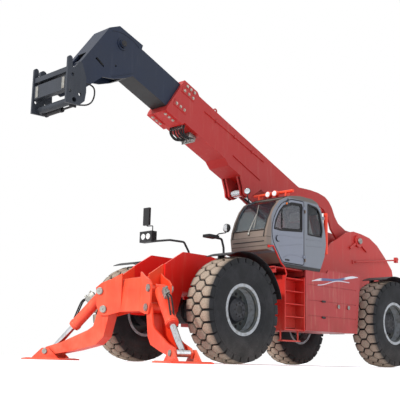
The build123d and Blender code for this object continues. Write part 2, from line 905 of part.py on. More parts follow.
# Cab
cab_outline = [
    (2170, cab_floor_z),
    (3120, cab_floor_z),
    (3340, 1770),
    (3560, 1800),
    (3590, 1990),
    (3570, 2110),
    (3500, 2300),
    (3400, 2480),
    (3270, 2620),
    (3000, 2745),
    (2720, 2785),
    (2380, 2785),
    (2230, 2740),
    (2120, 2620),
    (2000, 2220),
    (1985, 2040),
    (2030, 1830),
]
door_outline = [
    (2600, 1620),
    (3180, 1620),
    (3378, 1867),
    (3434, 1968),
    (3460, 2120),
    (3420, 2300),
    (3310, 2490),
    (3190, 2610),
    (2960, 2700),
    (2600, 2715),
]
quarter_outline = [(2110, 2150), (2510, 2150), (2510, 2690), (2250, 2665), (2160, 2590), (2080, 2300)]
right_window = [
    (2140, 2150), (3480, 2150), (3420, 2330), (3270, 2540), (2950, 2680), (2300, 2660), (2170, 2500),
]
windscreen_cut = [
    (3480, 2130), (3750, 2130), (3750, 2850), (3060, 2850), (3060, 2640), (3200, 2560), (3320, 2440),
    (3420, 2280),
]
rear_window_cut = [(1900, 2200), (2120, 2200), (2170, 2560), (1900, 2560)]


def at_rear_axle(points):
    """Side-view points measured from the rear axle, in the machine's own frame."""
    return [(rear_axle_x + x, z) for x, z in points]


def side_prism(points, y0, y1, mode=Mode.ADD, inset=0):
    """Add or cut a side-view outline extruded from y0 to y1."""
    with BuildSketch(side_plane(y0)) as profile:
        with BuildLine():
            Polyline(at_rear_axle(points), close=True)
        make_face()
        if inset:
            offset(amount=-inset, kind=Kind.INTERSECTION)
    extrude(profile.sketch, amount=y0 - y1, dir=(0, -1, 0), mode=mode)


def side_bar(x, z, radius, y0, y1, mode=Mode.ADD):
    """Add or cut a round bar across the machine from y0 to y1, its x from the rear axle."""
    with BuildSketch(side_plane(y0)) as profile:
        with Locations((rear_axle_x + x, z)):
            Circle(radius)
    extrude(profile.sketch, amount=y0 - y1, dir=(0, -1, 0), mode=mode)


with BuildPart() as cab_shell:
    side_prism(cab_outline, cab_inner_y, cab_outer_y)
    side_prism(
        cab_outline, cab_inner_y + cab_wall, cab_outer_y - cab_wall, mode=Mode.SUBTRACT,
        inset=cab_wall,
    )
    side_prism(door_outline, cab_outer_y - cab_wall - 5, cab_outer_y + 5, mode=Mode.SUBTRACT)
    side_prism(quarter_outline, cab_outer_y - cab_wall - 5, cab_outer_y + 5, mode=Mode.SUBTRACT)
    side_prism(right_window, cab_inner_y - 5, cab_inner_y + cab_wall + 5, mode=Mode.SUBTRACT)
    for cut in (windscreen_cut, rear_window_cut):
        side_prism(cut, cab_inner_y + cab_post, cab_outer_y - cab_post, mode=Mode.SUBTRACT)
    # lower knuckles of the door's hinges
    for z in door_hinges:
        with Locations((door_hinge_x, door_hinge_y, z - 1)):
            Cylinder(door_knuckle_radius, door_knuckle, align=(Align.CENTER, Align.CENTER, Align.MAX))
        with Locations((door_hinge_x - 14, cab_outer_y - 2, z - 1)):
            Box(22, 18, door_knuckle, align=(Align.MIN, Align.MIN, Align.MAX))
        with Locations((door_hinge_x, door_hinge_y, z)):
            Cylinder(door_hinge_pin + pin_gap, 3 * door_knuckle, mode=Mode.SUBTRACT)
    # guard tube behind the left rear corner, on two brackets
    with Locations((guard_tube_x, guard_tube_y, 1890)):
        Cylinder(guard_tube_radius, 720, align=(Align.CENTER, Align.CENTER, Align.MIN))
    for z, reach in ((1950, 110), (2510, 220)):
        with Locations((guard_tube_x, guard_tube_y, z)):
            Box(reach, 24, 50, align=(Align.MIN, Align.CENTER, Align.CENTER))
save(cab_shell, "cab_shell")

with BuildPart() as cab_glass:
    # windscreen and rear pane follow the cab's outline, a little inside its face
    pane_y0 = cab_inner_y + cab_post + seat_gap
    pane_y1 = cab_outer_y - cab_post - seat_gap
    side_prism(cab_outline, pane_y0, pane_y1, inset=glass_inset)
    side_prism(
        cab_outline, pane_y0 - 1, pane_y1 + 1, mode=Mode.SUBTRACT, inset=glass_inset + glass_pane
    )
    with BuildSketch(side_plane(pane_y0 - 1)) as panes:
        for cut in (windscreen_cut, rear_window_cut):
            with BuildLine():
                Polyline(at_rear_axle(cut), close=True)
            make_face()
        offset(amount=-seat_gap, kind=Kind.INTERSECTION)
    extrude(panes.sketch, amount=pane_y1 - pane_y0 + 2, dir=(0, 1, 0), mode=Mode.INTERSECT)
    outer_face = cab_outer_y - glass_inset
    side_prism(quarter_outline, outer_face - glass_pane, outer_face, inset=seat_gap)
    inner_face = cab_inner_y + glass_inset
    side_prism(right_window, inner_face, inner_face + glass_pane, inset=seat_gap)
save(cab_glass, "cab_glass")

door_window = [
    (2650, 2180),
    (3230, 2130),
    (3400, 2140),
    (3365, 2290),
    (3265, 2460),
    (3155, 2565),
    (2950, 2645),
    (2650, 2660),
]
with BuildPart() as cab_door:
    side_prism(door_outline, cab_outer_y - cab_wall, cab_outer_y, inset=door_gap)
    side_prism(door_window, cab_outer_y - cab_wall - 5, cab_outer_y + 5, mode=Mode.SUBTRACT)
    with Locations((rear_axle_x + 3300, cab_outer_y, 2000)):
        Cylinder(45, 24, rotation=(90, 0, 0), align=(Align.CENTER, Align.CENTER, Align.MAX))
    # upper knuckles of the hinges with their pins
    for z in door_hinges:
        with Locations((door_hinge_x, door_hinge_y, z)):
            Cylinder(door_knuckle_radius, door_knuckle, align=(Align.CENTER, Align.CENTER, Align.MIN))
            Cylinder(
                door_hinge_pin, 2 * door_knuckle - 4, align=(Align.CENTER, Align.CENTER, Align.CENTER)
            )
        with Locations((door_hinge_x, cab_outer_y + 3, z)):
            Box(50, 15, door_knuckle, align=(Align.MIN, Align.MIN, Align.MIN))
        with Locations((door_hinge_x + door_gap + 20, cab_outer_y - 2, z)):
            Box(25, 10, door_knuckle, align=(Align.MIN, Align.MIN, Align.MIN))
save(cab_door, "cab_door")
with BuildPart() as door_glass:
    side_prism(door_window, outer_face - glass_pane, outer_face, inset=seat_gap)
save(door_glass, "door_glass")

with BuildPart() as seat:
    with Locations((rear_axle_x + 2520, (cab_inner_y + cab_outer_y) / 2, cab_floor_z + cab_wall + seat_gap)):
        Box(300, 300, 330, align=(Align.CENTER, Align.CENTER, Align.MIN))
        with Locations((0, 0, 330)):
            Box(480, 500, 130, align=(Align.CENTER, Align.CENTER, Align.MIN))
        with Locations((-200, 0, 400)):
            Box(120, 480, 620, align=(Align.CENTER, Align.CENTER, Align.MIN))
save(seat, "seat")
with BuildPart() as steering_column:
    with Locations((rear_axle_x + 3010, (cab_inner_y + cab_outer_y) / 2, cab_floor_z + cab_wall + seat_gap)):
        Box(140, 120, 500, align=(Align.CENTER, Align.CENTER, Align.MIN))
        with Locations((-40, 0, 500)):
            Cylinder(190, 30, align=(Align.CENTER, Align.CENTER, Align.MIN))
save(steering_column, "steering_column")
work_lamps = (770, 915)
roof_fall = (2785 - 2745) / (3000 - 2720)


def roof_foot(ahead):
    """Height just above the roof, at a distance ahead of the roof bar."""
    return 2745 + seat_gap - (roof_bar_x + ahead - rear_axle_x - 3000) * roof_fall


with BuildPart() as roof_guard:
    with Locations((roof_bar_x, (cab_inner_y + cab_outer_y) / 2, roof_bar_z)):
        Cylinder(roof_bar_radius, 2 * roof_bar_half, rotation=(90, 0, 0))
    for y in (cab_inner_y + 90, cab_outer_y - 90):
        with BuildSketch(side_plane(y)):
            with BuildLine():
                Polyline(
                    (roof_bar_x - 60, roof_bar_z - 20), (roof_bar_x - 60, roof_foot(-60)),
                    (roof_bar_x + 45, roof_foot(45)), (roof_bar_x + 45, roof_bar_z - 20),
                    (roof_bar_x, roof_bar_z + 10), close=True,
                )
            make_face()
        extrude(amount=12, both=True)
    for y in work_lamps:
        with Locations((roof_bar_x + 80, y, roof_bar_z - 28)):
            Cylinder(work_lamp_radius, 70, rotation=(0, 90, 0))
        with Locations((roof_bar_x + 25, y, roof_bar_z - 10)):
            Box(70, 40, 24)
save(roof_guard, "roof_guard")

# Mirrors and lamps on bent tubes that stand on the side plates
mirror_tube = 18
mirror_stalk = 9
mirrors = [
    # name, route of the tube, lamp centre, lamp size, route of the stalk
    (
        "left",
        [(3720, 405, 1560), (3740, 405, 1860), (3790, 405, 1995), (4100, 405, 2000)],
        (4040, 405, 2005), (230, 150, 46),
        [(3950, 405, 2010), (3860, 405, 2070), (3690, 405, 2110), (3670, 405, 2190)],
    ),
    (
        "right",
        [(3720, -405, 1560), (3735, -405, 1850), (3830, -430, 2010), (4040, -560, 2030), (4060, -1000, 2040)],
        (4060, -1090, 2125), (120, 310, 190),
        [(4060, -980, 2150), (4060, -980, 2312), (4060, -1130, 2320), (4060, -1140, 2400)],
    ),
]
for name, route, lamp, lamp_size, stalk in mirrors:
    side = 1 if name == "left" else -1
    with BuildPart() as mirror_arm:
        tube([(rear_axle_x + x, y, z) for x, y, z in route], mirror_tube, 45)
        tube([(rear_axle_x + x, y, z) for x, y, z in stalk], mirror_stalk, 16)
        with Locations((rear_axle_x + lamp[0], lamp[1], lamp[2])):
            Box(*lamp_size)
        x, y, z = stalk[-1]
        if name == "left":
            with Locations((rear_axle_x + x, y, z)):
                Cylinder(70, 34, rotation=(0, 90, 38))
        else:
            with Locations((rear_axle_x + x, y, z + 90)):
                Box(44, 150, 310)
        # foot against the side plate
        foot_y = frame_outer_y + seat_gap
        with Locations((rear_axle_x + route[0][0], side * (foot_y + 20), 1580)):
            Box(90, 40, 70)
    save(mirror_arm, "mirror_" + name)

# Boom: outer section with its neck, collar and lift cylinder lugs
def boom_prism(points, y0, y1=None, mode=Mode.ADD):
    """Outline in boom coordinates, extruded from y0 to y1, or from -y0 to y0."""
    if y1 is None:
        y1 = -y0
    with BuildSketch(boom_side.offset(-y0)) as profile:
        with BuildLine():
            Polyline(points, close=True)
        make_face()
    extrude(profile.sketch, amount=y0 - y1, dir=(0, -1, 0), mode=mode)


def boom_bar(s, n, radius, half, mode=Mode.ADD):
    """Round bar or hole across the boom."""
    with BuildSketch(boom_side) as profile:
        with Locations((s, n)):
            Circle(radius)
    extrude(profile.sketch, amount=half, both=True, mode=mode)


def rectangle(s0, s1, n0, n1):
    return [(s0, n0), (s1, n0), (s1, n1), (s0, n1)]


neck_outline = [
    (1900, -200),
    (outer_rear + 50, -200),
    (outer_rear, 20),
    (1280, 115),
    (1060, 140),
    (850, 60),
    (700, -100),
    (450, -190),
    (100, -190),
    (-130, -130),
    (-185, 0),
    (-130, 140),
    (50, 190),
    (270, 115),
    (530, 120),
    (680, 190),
    (830, 308),
    (960, 370),
    (1110, 391),
    (1330, 350),
    (1580, 264),
    (1900, outer_top),
]
with BuildPart() as boom_outer:
    boom_prism(
        [
            (outer_rear, outer_bottom),
            (collar_start + 40, outer_bottom),
            (collar_start + 60, outer_bottom - 47),
            (collar_front_bottom, outer_bottom - 47),
            (collar_front_bottom, outer_bottom + 20),
            (collar_front_top, collar_height),
            (collar_start, collar_height),
            (collar_start - 60, outer_top),
            (outer_rear, outer_top),
        ],
        outer_half_width,
    )
    boom_prism(
        [(3380, outer_bottom + 5), (3380, -556), (3720, -556), (3870, outer_bottom + 5)],
        outer_half_width,
    )
    for side in (1, -1):
        outer_y = side * outer_half_width
        boom_prism(neck_outline, outer_y - side * neck_plate, outer_y)
    boom_prism(
        rectangle(outer_rear - 10, collar_start, inner_bottom - pad_depth, inner_top + pad_depth),
        outer_half_width - outer_wall, mode=Mode.SUBTRACT,
    )
    boom_prism(
        rectangle(
            collar_start - 10, collar_front_bottom + 10, inner_bottom - wear_gap, inner_top + wear_gap
        ),
        inner_half_width + wear_gap, mode=Mode.SUBTRACT,
    )
    for side in (1, -1):
        for y0, y1 in ((lift_lug_y, lift_lug_y + lift_lug_plate), (outer_half_width - 32, outer_half_width)):
            boom_prism(
                [
                    (2820, outer_bottom + 5), (lift_pin_s - 110, lift_pin_n - 40),
                    (lift_pin_s - 60, lift_pin_n - 95), (lift_pin_s + 60, lift_pin_n - 95),
                    (lift_pin_s + 120, lift_pin_n), (3385, -556), (3385, outer_bottom + 5),
                ],
                side * y0, side * y1,
            )
        with BuildSketch(boom_side.offset(-side * lift_lug_y)):
            with Locations((lift_pin_s, lift_pin_n)):
                Circle(lift_pin_radius)
        extrude(amount=-side * (outer_half_width + 12 - lift_lug_y))
    for side in (1, -1):
        eye_y = side * (outer_half_width - 40)
        with BuildSketch(boom_side.offset(-eye_y)) as eye:
            with Locations((lifting_eye_s, outer_top + lifting_eye_radius - 12)):
                Circle(lifting_eye_radius)
                Circle(lifting_eye_hole, mode=Mode.SUBTRACT)
        extrude(eye.sketch, amount=lifting_eye_plate, dir=(0, -side, 0))
    boom_bar(0, 0, boom_pivot_radius + 50, outer_half_width - 5)
    boom_bar(0, 0, boom_pivot_radius, frame_outer_y + 52)
    boom_bar(900, 220, 50, outer_half_width - 5)
save(boom_outer, "boom_outer")

# Inner section: tube, rear wear pads and the drop-nosed head
head_outline_boom = [
    (head_start, inner_bottom),
    (head_start + 50, 148),
    (6668, 125),
    (6820, -30),
    (7060, -1000),
    (7050, -1250),
    (7000, -1325),
    (6900, -1325),
    (6830, -1240),
    (6600, -820),
    (6400, -710),
    (6220, -550),
]
head_cavity = [
    (head_start + 60, inner_bottom + 30),
    (head_start + 90, 115),
    (6655, 97),
    (6795, -40),
    (7030, -1000),
    (7030, -1400),
    (6700, -1400),
    (6560, -830),
    (6360, -740),
    (6240, -560),
]
carriage_s = (carriage_pivot_x - boom_pivot_x) * cos(radians(boom_angle)) + (
    carriage_pivot_z - boom_pivot_z
) * sin(radians(boom_angle))
carriage_n = (carriage_pivot_z - boom_pivot_z) * cos(radians(boom_angle)) - (
    carriage_pivot_x - boom_pivot_x
) * sin(radians(boom_angle))
with BuildPart() as boom_inner:
    boom_prism(rectangle(inner_rear, head_start + 200, inner_bottom, inner_top), inner_half_width)
    boom_prism(
        rectangle(
            inner_rear, inner_rear + 250, inner_bottom - pad_depth + wear_gap, inner_top + pad_depth - wear_gap
        ),
        outer_half_width - outer_wall - wear_gap,
    )
    boom_prism(
        rectangle(inner_rear - 10, head_start + 210, inner_bottom + inner_wall, inner_top - inner_wall),
        inner_half_width - inner_wall, mode=Mode.SUBTRACT,
    )
    boom_prism(head_outline_boom, head_half_width)
    boom_prism(head_cavity, head_half_width - head_plate, mode=Mode.SUBTRACT)
    # slot for the tilt cylinder in the sloping front
    boom_prism([(6880, -600), (7200, -600), (7200, -1400), (6880, -1400)], tilt_slot, mode=Mode.SUBTRACT)
    boom_prism(
        [(6640, -676), (6660, -636), (6815, -606), (6835, -646)], head_half_width + 5,
        mode=Mode.SUBTRACT,
    )
    boom_bar(6466, -504, 18, head_half_width + 5, mode=Mode.SUBTRACT)
    boom_bar(carriage_s, carriage_n, carriage_pin_radius + pin_gap, 400, mode=Mode.SUBTRACT)
    boom_bar(tilt_base_s, tilt_base_n, head_boss_radius, head_half_width + 12)
    boom_bar(tilt_base_s, tilt_base_n, head_boss_cap, head_half_width + 38)
    boom_bar(tilt_base_s, tilt_base_n, head_boss_radius + 2, tilt_eye_half + 5, mode=Mode.SUBTRACT)
    boom_bar(tilt_base_s, tilt_base_n, tilt_pin_radius + pin_gap, head_half_width - 10, mode=Mode.SUBTRACT)
save(boom_inner, "boom_inner")

# Carriage: side plates, cross beams, ears and the locking tube
carriage_side = [
    (7030, 3510),
    (7030, 4165),
    (6954, 4165),
    (6950, 4050),
    (6900, 4050),
    (6857, 4120),
    (6773, 4120),
    (6700, 3950),
    (6690, 3740),
    (6710, 3600),
    (6800, 3520),
]
# x from the rear axle, z, radius
carriage_rounds = [(6992, 4165, carriage_hook_radius), (6815, 4120, carriage_heel_radius)]
carriage_holes = [(6941, 3938), (6971, 3690), (6798, 3681)]
with BuildPart() as carriage:
    for side in (1, -1):
        plate_inner = side * (carriage_half - carriage_plate)
        side_prism(carriage_side, plate_inner, side * carriage_half)
        for x, z, radius in carriage_rounds:
            side_bar(x, z, radius, plate_inner, side * carriage_half)
        for x, z in carriage_holes:
            side_bar(
                x, z, carriage_hole_radius, plate_inner, side * (carriage_half + 5), mode=Mode.SUBTRACT,
            )
        side_prism(
            [(6640, 3860), (6740, 3820), (6940, 3740), (6940, 3900), (6760, 3985), (6660, 3975)],
            side * (head_half_width + move_gap), side * (head_half_width + move_gap + 30),
        )
        side_prism(
            [(6930, 3980), (6930, 4050), (6780, 4190), (6680, 4190), (6680, 4070), (6780, 4060)],
            side * (tilt_eye_half + move_gap), side * (tilt_eye_half + move_gap + 24),
        )
    for x0, x1, z0, z1 in ((6920, 7015, 3970, 4045), (6920, 7015, 3720, 3920)):
        side_prism([(x0, z0), (x1, z0), (x1, z1), (x0, z1)], -carriage_half + 20, carriage_half - 20)
    # hook lug on the upper beam
    side_bar(6967, 4082, hook_lug_radius, hook_lug_y - hook_lug_half, hook_lug_y + hook_lug_half)
    # tube for the attachment's lock pin
    with BuildSketch(side_plane(0)):
        with Locations((rear_axle_x + 6890, 3580)):
            Circle(lock_pin_radius + 20)
    extrude(amount=carriage_half - 20, both=True)
    with BuildSketch(side_plane(0)):
        with Locations((rear_axle_x + 6890, 3580)):
            Circle(lock_pin_radius)
    extrude(amount=carriage_half + 10, both=True, mode=Mode.SUBTRACT)
    with BuildSketch(side_plane(0)):
        with Locations((carriage_pivot_x, carriage_pivot_z)):
            Circle(carriage_pin_radius)
    extrude(amount=head_half_width + move_gap + 40, both=True)
save(carriage, "carriage")

# Lift and tilt cylinders, each along its own line from base pin to rod eye
lift_pin_x, lift_pin_z = boom_point(lift_pin_s, lift_pin_n)
tilt_base_x, tilt_base_z = boom_point(tilt_base_s, tilt_base_n)
rams = [
    # name, base x, base z, eye x, eye z, barrel radius, rod radius, eye radius, eye half width,
    # base pin radius, base pin half length, barrel start, barrel end, rod start
    ("lift", lift_base_x, lift_base_z, lift_pin_x, lift_pin_z, lift_barrel_radius, lift_rod_radius,
     lift_eye_radius, lift_lug_y - move_gap, lift_pin_radius, lift_lug_y + lift_lug_plate + 10,
     190, 2000, 1000),
    ("tilt", tilt_base_x, tilt_base_z, tilt_pin_x, tilt_pin_z, 72, 40,
     62, tilt_eye_half, tilt_pin_radius, head_half_width - 12,
     120, 880, 560),
]
for name, x0, z0, x1, z1, r_barrel, r_rod, r_eye, half, r_pin, pin_half, start, end, rod_start in rams:
    length = hypot(x1 - x0, z1 - z0)
    unit = Vector((x1 - x0) / length, 0, (z1 - z0) / length)
    axis_plane = Plane(origin=(x0, 0, z0), x_dir=(0, 1, 0), z_dir=unit)
    across = Plane(origin=(x0, 0, z0), x_dir=unit, z_dir=(0, -1, 0))
    with BuildPart() as barrel:
        with BuildSketch(across):
            Circle(r_eye)
        extrude(amount=half, both=True)
        with BuildSketch(across):
            Circle(r_pin)
        extrude(amount=pin_half, both=True)
        with BuildSketch(axis_plane):
            Circle(r_rod * 1.1)
        extrude(amount=start + 10)
        with BuildSketch(axis_plane.offset(start)):
            Circle(r_barrel)
        extrude(amount=end - start)
        with BuildSketch(axis_plane.offset(start + 40)):
            Circle(r_rod + pin_gap)
        extrude(amount=end, mode=Mode.SUBTRACT)
    save(barrel, name + "_barrel")
    with BuildPart() as rod:
        with BuildSketch(axis_plane.offset(rod_start)):
            Circle(r_rod)
        extrude(amount=length - rod_start - 20)
        with BuildSketch(across):
            with Locations((length, 0)):
                Circle(r_eye)
        extrude(amount=half, both=True)
    save(rod, name + "_rod")
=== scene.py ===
import math
import random

import bpy
from mathutils import Matrix, Vector


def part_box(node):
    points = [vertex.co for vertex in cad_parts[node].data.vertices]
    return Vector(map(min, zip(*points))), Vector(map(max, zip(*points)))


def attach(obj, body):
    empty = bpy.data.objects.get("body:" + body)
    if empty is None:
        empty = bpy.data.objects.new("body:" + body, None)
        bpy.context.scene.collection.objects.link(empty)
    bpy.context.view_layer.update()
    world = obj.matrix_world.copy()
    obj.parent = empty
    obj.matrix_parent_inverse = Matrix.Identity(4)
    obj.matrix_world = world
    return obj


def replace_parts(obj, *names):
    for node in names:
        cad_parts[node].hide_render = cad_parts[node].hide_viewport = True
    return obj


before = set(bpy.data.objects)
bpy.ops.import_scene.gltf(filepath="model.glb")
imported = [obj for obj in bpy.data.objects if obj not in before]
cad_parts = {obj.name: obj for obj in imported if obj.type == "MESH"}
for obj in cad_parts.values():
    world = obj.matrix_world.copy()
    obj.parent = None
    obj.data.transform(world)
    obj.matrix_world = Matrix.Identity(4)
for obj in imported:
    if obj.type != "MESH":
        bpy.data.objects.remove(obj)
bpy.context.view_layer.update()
print("frame loaded,", len(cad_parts), "nodes")


def deselectAll():
    if bpy.context.object and bpy.context.object.mode != "OBJECT":
        bpy.ops.object.mode_set(mode="OBJECT")
    bpy.ops.object.select_all(action="DESELECT")


def bringIn(name, data):
    piece = bpy.data.objects.new(name, data)
    bpy.context.scene.collection.objects.link(piece)
    return piece


def makeActive(piece):
    deselectAll()
    piece.select_set(True)
    bpy.context.view_layer.objects.active = piece
    return piece


def settle(name, size=(1, 1, 1)):  # names the new piece; its place and size go into its mesh
    piece = bpy.context.object
    piece.name = name
    piece.scale = size
    makeActive(piece)
    bpy.ops.object.transform_apply(location=True, rotation=True, scale=True)
    return piece


def addBlock(name, centre, size, soft=0, segments=2):
    deselectAll()
    bpy.ops.mesh.primitive_cube_add(size=1, location=centre)
    piece = settle(name, size)
    return softenEdges(piece, soft, segments) if soft else piece


def addDisc(name, centre, radius, depth, axis="Z", sides=24, soft=0, segments=2):
    turns = {"X": (0, math.pi / 2, 0), "Y": (math.pi / 2, 0, 0), "Z": (0, 0, 0)}
    turn = turns[axis] if isinstance(axis, str) else Vector(axis).to_track_quat("Z", "Y").to_euler()
    deselectAll()
    bpy.ops.mesh.primitive_cylinder_add(vertices=sides, radius=radius, depth=depth, location=centre,
                                        rotation=turn)
    piece = settle(name)
    return softenEdges(piece, soft, segments) if soft else piece


def pickFaces(piece, wanted):  # leaves the piece in edit mode with those faces selected
    makeActive(piece)
    bpy.ops.object.mode_set(mode="EDIT")
    bpy.ops.mesh.select_mode(type="FACE")
    bpy.ops.mesh.select_all(action="DESELECT")
    bpy.ops.object.mode_set(mode="OBJECT")
    for face in piece.data.polygons:
        face.select = bool(wanted(face))
    bpy.ops.object.mode_set(mode="EDIT")


def editAll(piece):  # leaves the piece in edit mode with everything selected
    makeActive(piece)
    bpy.ops.object.mode_set(mode="EDIT")
    bpy.ops.mesh.select_all(action="SELECT")


def leaveEdit():
    bpy.ops.object.mode_set(mode="OBJECT")


def facing(direction, limit=0.9):
    aim = Vector(direction).normalized()
    return lambda face: face.normal.dot(aim) > limit


toFront, toLeft, upward = facing((1, 0, 0)), facing((0, 1, 0)), facing((0, 0, 1))


def insetFaces(piece, wanted, thickness, depth=0.0):
    pickFaces(piece, wanted)
    bpy.ops.mesh.inset(thickness=thickness, depth=depth)
    leaveEdit()


def shiftFaces(piece, wanted, move=(0, 0, 0), grow=(1, 1, 1), extrude=False):
    pickFaces(piece, wanted)
    if extrude:
        bpy.ops.mesh.extrude_region_move(TRANSFORM_OT_translate={"value": move})
    else:
        bpy.ops.transform.translate(value=move)
    bpy.ops.transform.resize(value=grow)
    leaveEdit()


def extrudeFaces(piece, wanted, move, grow=(1, 1, 1)):
    shiftFaces(piece, wanted, move, grow, extrude=True)


def modify(piece, kind, **settings):  # adds a modifier and applies it
    makeActive(piece)
    modifier = piece.modifiers.new(kind.lower(), kind)
    for setting, value in settings.items():
        setattr(modifier, setting, value)
    bpy.ops.object.modifier_apply(modifier=modifier.name)
    return piece


def softenEdges(piece, width, segments=2, angle=30):
    return modify(piece, "BEVEL", width=width, segments=segments, limit_method="ANGLE",
                  angle_limit=math.radians(angle))


def smooth(piece, angle):
    makeActive(piece)
    bpy.ops.object.shade_smooth_by_angle(angle=math.radians(angle))
    return piece


def joinPieces(name, pieces):
    deselectAll()
    for piece in pieces:
        piece.select_set(True)
    bpy.context.view_layer.objects.active = pieces[0]
    if len(pieces) > 1:
        bpy.ops.object.join()
    pieces[0].name = name
    return pieces[0]


def copyTo(piece, matrix):
    twin = piece.copy()
    twin.data = piece.data.copy()
    bpy.context.scene.collection.objects.link(twin)
    twin.data.transform(matrix)
    if matrix.determinant() < 0:
        twin.data.flip_normals()
    return twin


def spinProfile(name, points, axisPoint, axis, steps):  # points are (along the axis, radius)
    along = Vector(axis).normalized()
    out = along.orthogonal().normalized()
    places = [Vector(axisPoint) + along * a + out * r for a, r in points]
    deselectAll()
    bpy.ops.mesh.primitive_plane_add(size=0.001, location=places[0])
    piece = settle(name)
    bpy.ops.object.mode_set(mode="EDIT")
    bpy.ops.mesh.select_mode(type="VERT")
    bpy.ops.mesh.select_all(action="SELECT")
    bpy.ops.mesh.merge(type="CENTER")
    for here, there in zip(places, places[1:]):
        bpy.ops.mesh.extrude_region_move(TRANSFORM_OT_translate={"value": there - here})
    bpy.ops.mesh.select_all(action="SELECT")
    bpy.ops.mesh.spin(steps=steps, angle=2 * math.pi, center=axisPoint, axis=along)
    bpy.ops.mesh.select_all(action="SELECT")
    bpy.ops.mesh.remove_doubles(threshold=0.0002)
    bpy.ops.mesh.normals_make_consistent(inside=False)
    leaveEdit()
    return piece


def routeCurve(name, points, radius):  # a smooth line through few points, as thick as the hose
    curve = bpy.data.curves.new(name, "CURVE")
    curve.dimensions = "3D"
    curve.bevel_depth = radius
    curve.bevel_resolution = 3
    curve.use_fill_caps = True
    curve.resolution_u = 6
    route = curve.splines.new("NURBS")
    route.points.add(len(points) - 1)
    for place, point in zip(points, route.points):
        point.co = (*place, 1)
    route.order_u = 3
    route.use_endpoint_u = True
    return bringIn(name, curve)


def bendTube(name, points, radius):
    makeActive(routeCurve(name, points, radius))
    bpy.ops.object.convert(target="MESH")
    return smooth(bpy.context.object, 50)


def dress(piece, body, material, angle=30):
    piece.data.materials.clear()
    piece.data.materials.append(material)
    smooth(piece, angle)
    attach(piece, body)
    return piece


def fit(name, parts, body, material, angle=30):  # the parts become one finished piece on a body
    return dress(joinPieces(name, parts), body, material, angle)


def maths(operation, swapped=False):  # one operation of the maths node, as a method
    def combine(self, *others):
        values = [*others, self] if swapped else [self, *others]
        return self.finish.add("ShaderNodeMath", {"operation": operation}, dict(enumerate(values)))
    return combine


class Signal:  # a shader socket that can be added to, multiplied and compared
    def __init__(self, finish, socket):
        self.finish = finish
        self.socket = socket

    __add__ = __radd__ = maths("ADD")
    __mul__ = __rmul__ = maths("MULTIPLY")
    __sub__, __rsub__ = maths("SUBTRACT"), maths("SUBTRACT", swapped=True)
    __truediv__, __rtruediv__ = maths("DIVIDE"), maths("DIVIDE", swapped=True)
    __gt__, __lt__ = maths("GREATER_THAN"), maths("LESS_THAN")
    highest, lowest = maths("MAXIMUM"), maths("MINIMUM")
    size, sine, root = maths("ABSOLUTE"), maths("SINE"), maths("SQRT")

    def ramp(self, low, high, start=0.0, end=1.0):  # low to high becomes start to end, held at both
        return self.finish.add("ShaderNodeMapRange", {"interpolation_type": "SMOOTHSTEP"},
                               {0: self, 1: low, 2: high, 3: start, 4: end})


def linearLight(colour):  # from the 0 to 255 of a colour picker
    shares = [part / 255 for part in colour]
    return (*(s / 12.92 if s <= 0.04045 else ((s + 0.055) / 1.055) ** 2.4 for s in shares), 1.0)


class Finish:
    def __init__(self, name, **uniform):
        self.material = bpy.data.materials.new(name)
        self.material.use_nodes = True
        self.tree = self.material.node_tree
        self.shader = self.tree.nodes["Principled BSDF"]
        for socket, value in uniform.items():
            self.shader.inputs[socket.replace("_", " ")].default_value = value

    def add(self, kind, settings=None, sockets=None, out=0):
        node = self.tree.nodes.new(kind)
        for setting, value in (settings or {}).items():
            setattr(node, setting, value)
        for place, value in (sockets or {}).items():
            self.feed(node.inputs[place], value)
        return Signal(self, node.outputs[out])

    def feed(self, socket, value):
        if isinstance(value, Signal):
            self.tree.links.new(value.socket, socket)
        else:
            socket.default_value = value

    def shade(self, **channels):
        for socket, value in channels.items():
            self.feed(self.shader.inputs[socket.replace("_", " ")], value)
        return self.material

    def place(self, scale=(1, 1, 1)):
        where = self.add("ShaderNodeTexCoord", out=3)
        return self.add("ShaderNodeMapping", {"vector_type": "POINT"}, {0: where, 3: scale})

    def axes(self, vector):
        return [self.add("ShaderNodeSeparateXYZ", sockets={0: vector}, out=n) for n in range(3)]

    def noise(self, vector, scale, detail=3.0, rough=0.55):
        return self.add("ShaderNodeTexNoise", sockets={"Vector": vector, "Scale": scale, "Detail": detail,
                                                       "Roughness": rough})

    def mix(self, share, first, second):
        first, second = (linearLight(c) if isinstance(c, tuple) else c for c in (first, second))
        return self.add("ShaderNodeMix", {"data_type": "RGBA"}, {0: share, 6: first, 7: second}, out=2)

    def bump(self, height, strength, distance):
        return self.add("ShaderNodeBump", sockets={"Height": height, "Strength": strength,
                                                   "Distance": distance})

    def normal(self):
        return self.axes(self.add("ShaderNodeNewGeometry", out=1))


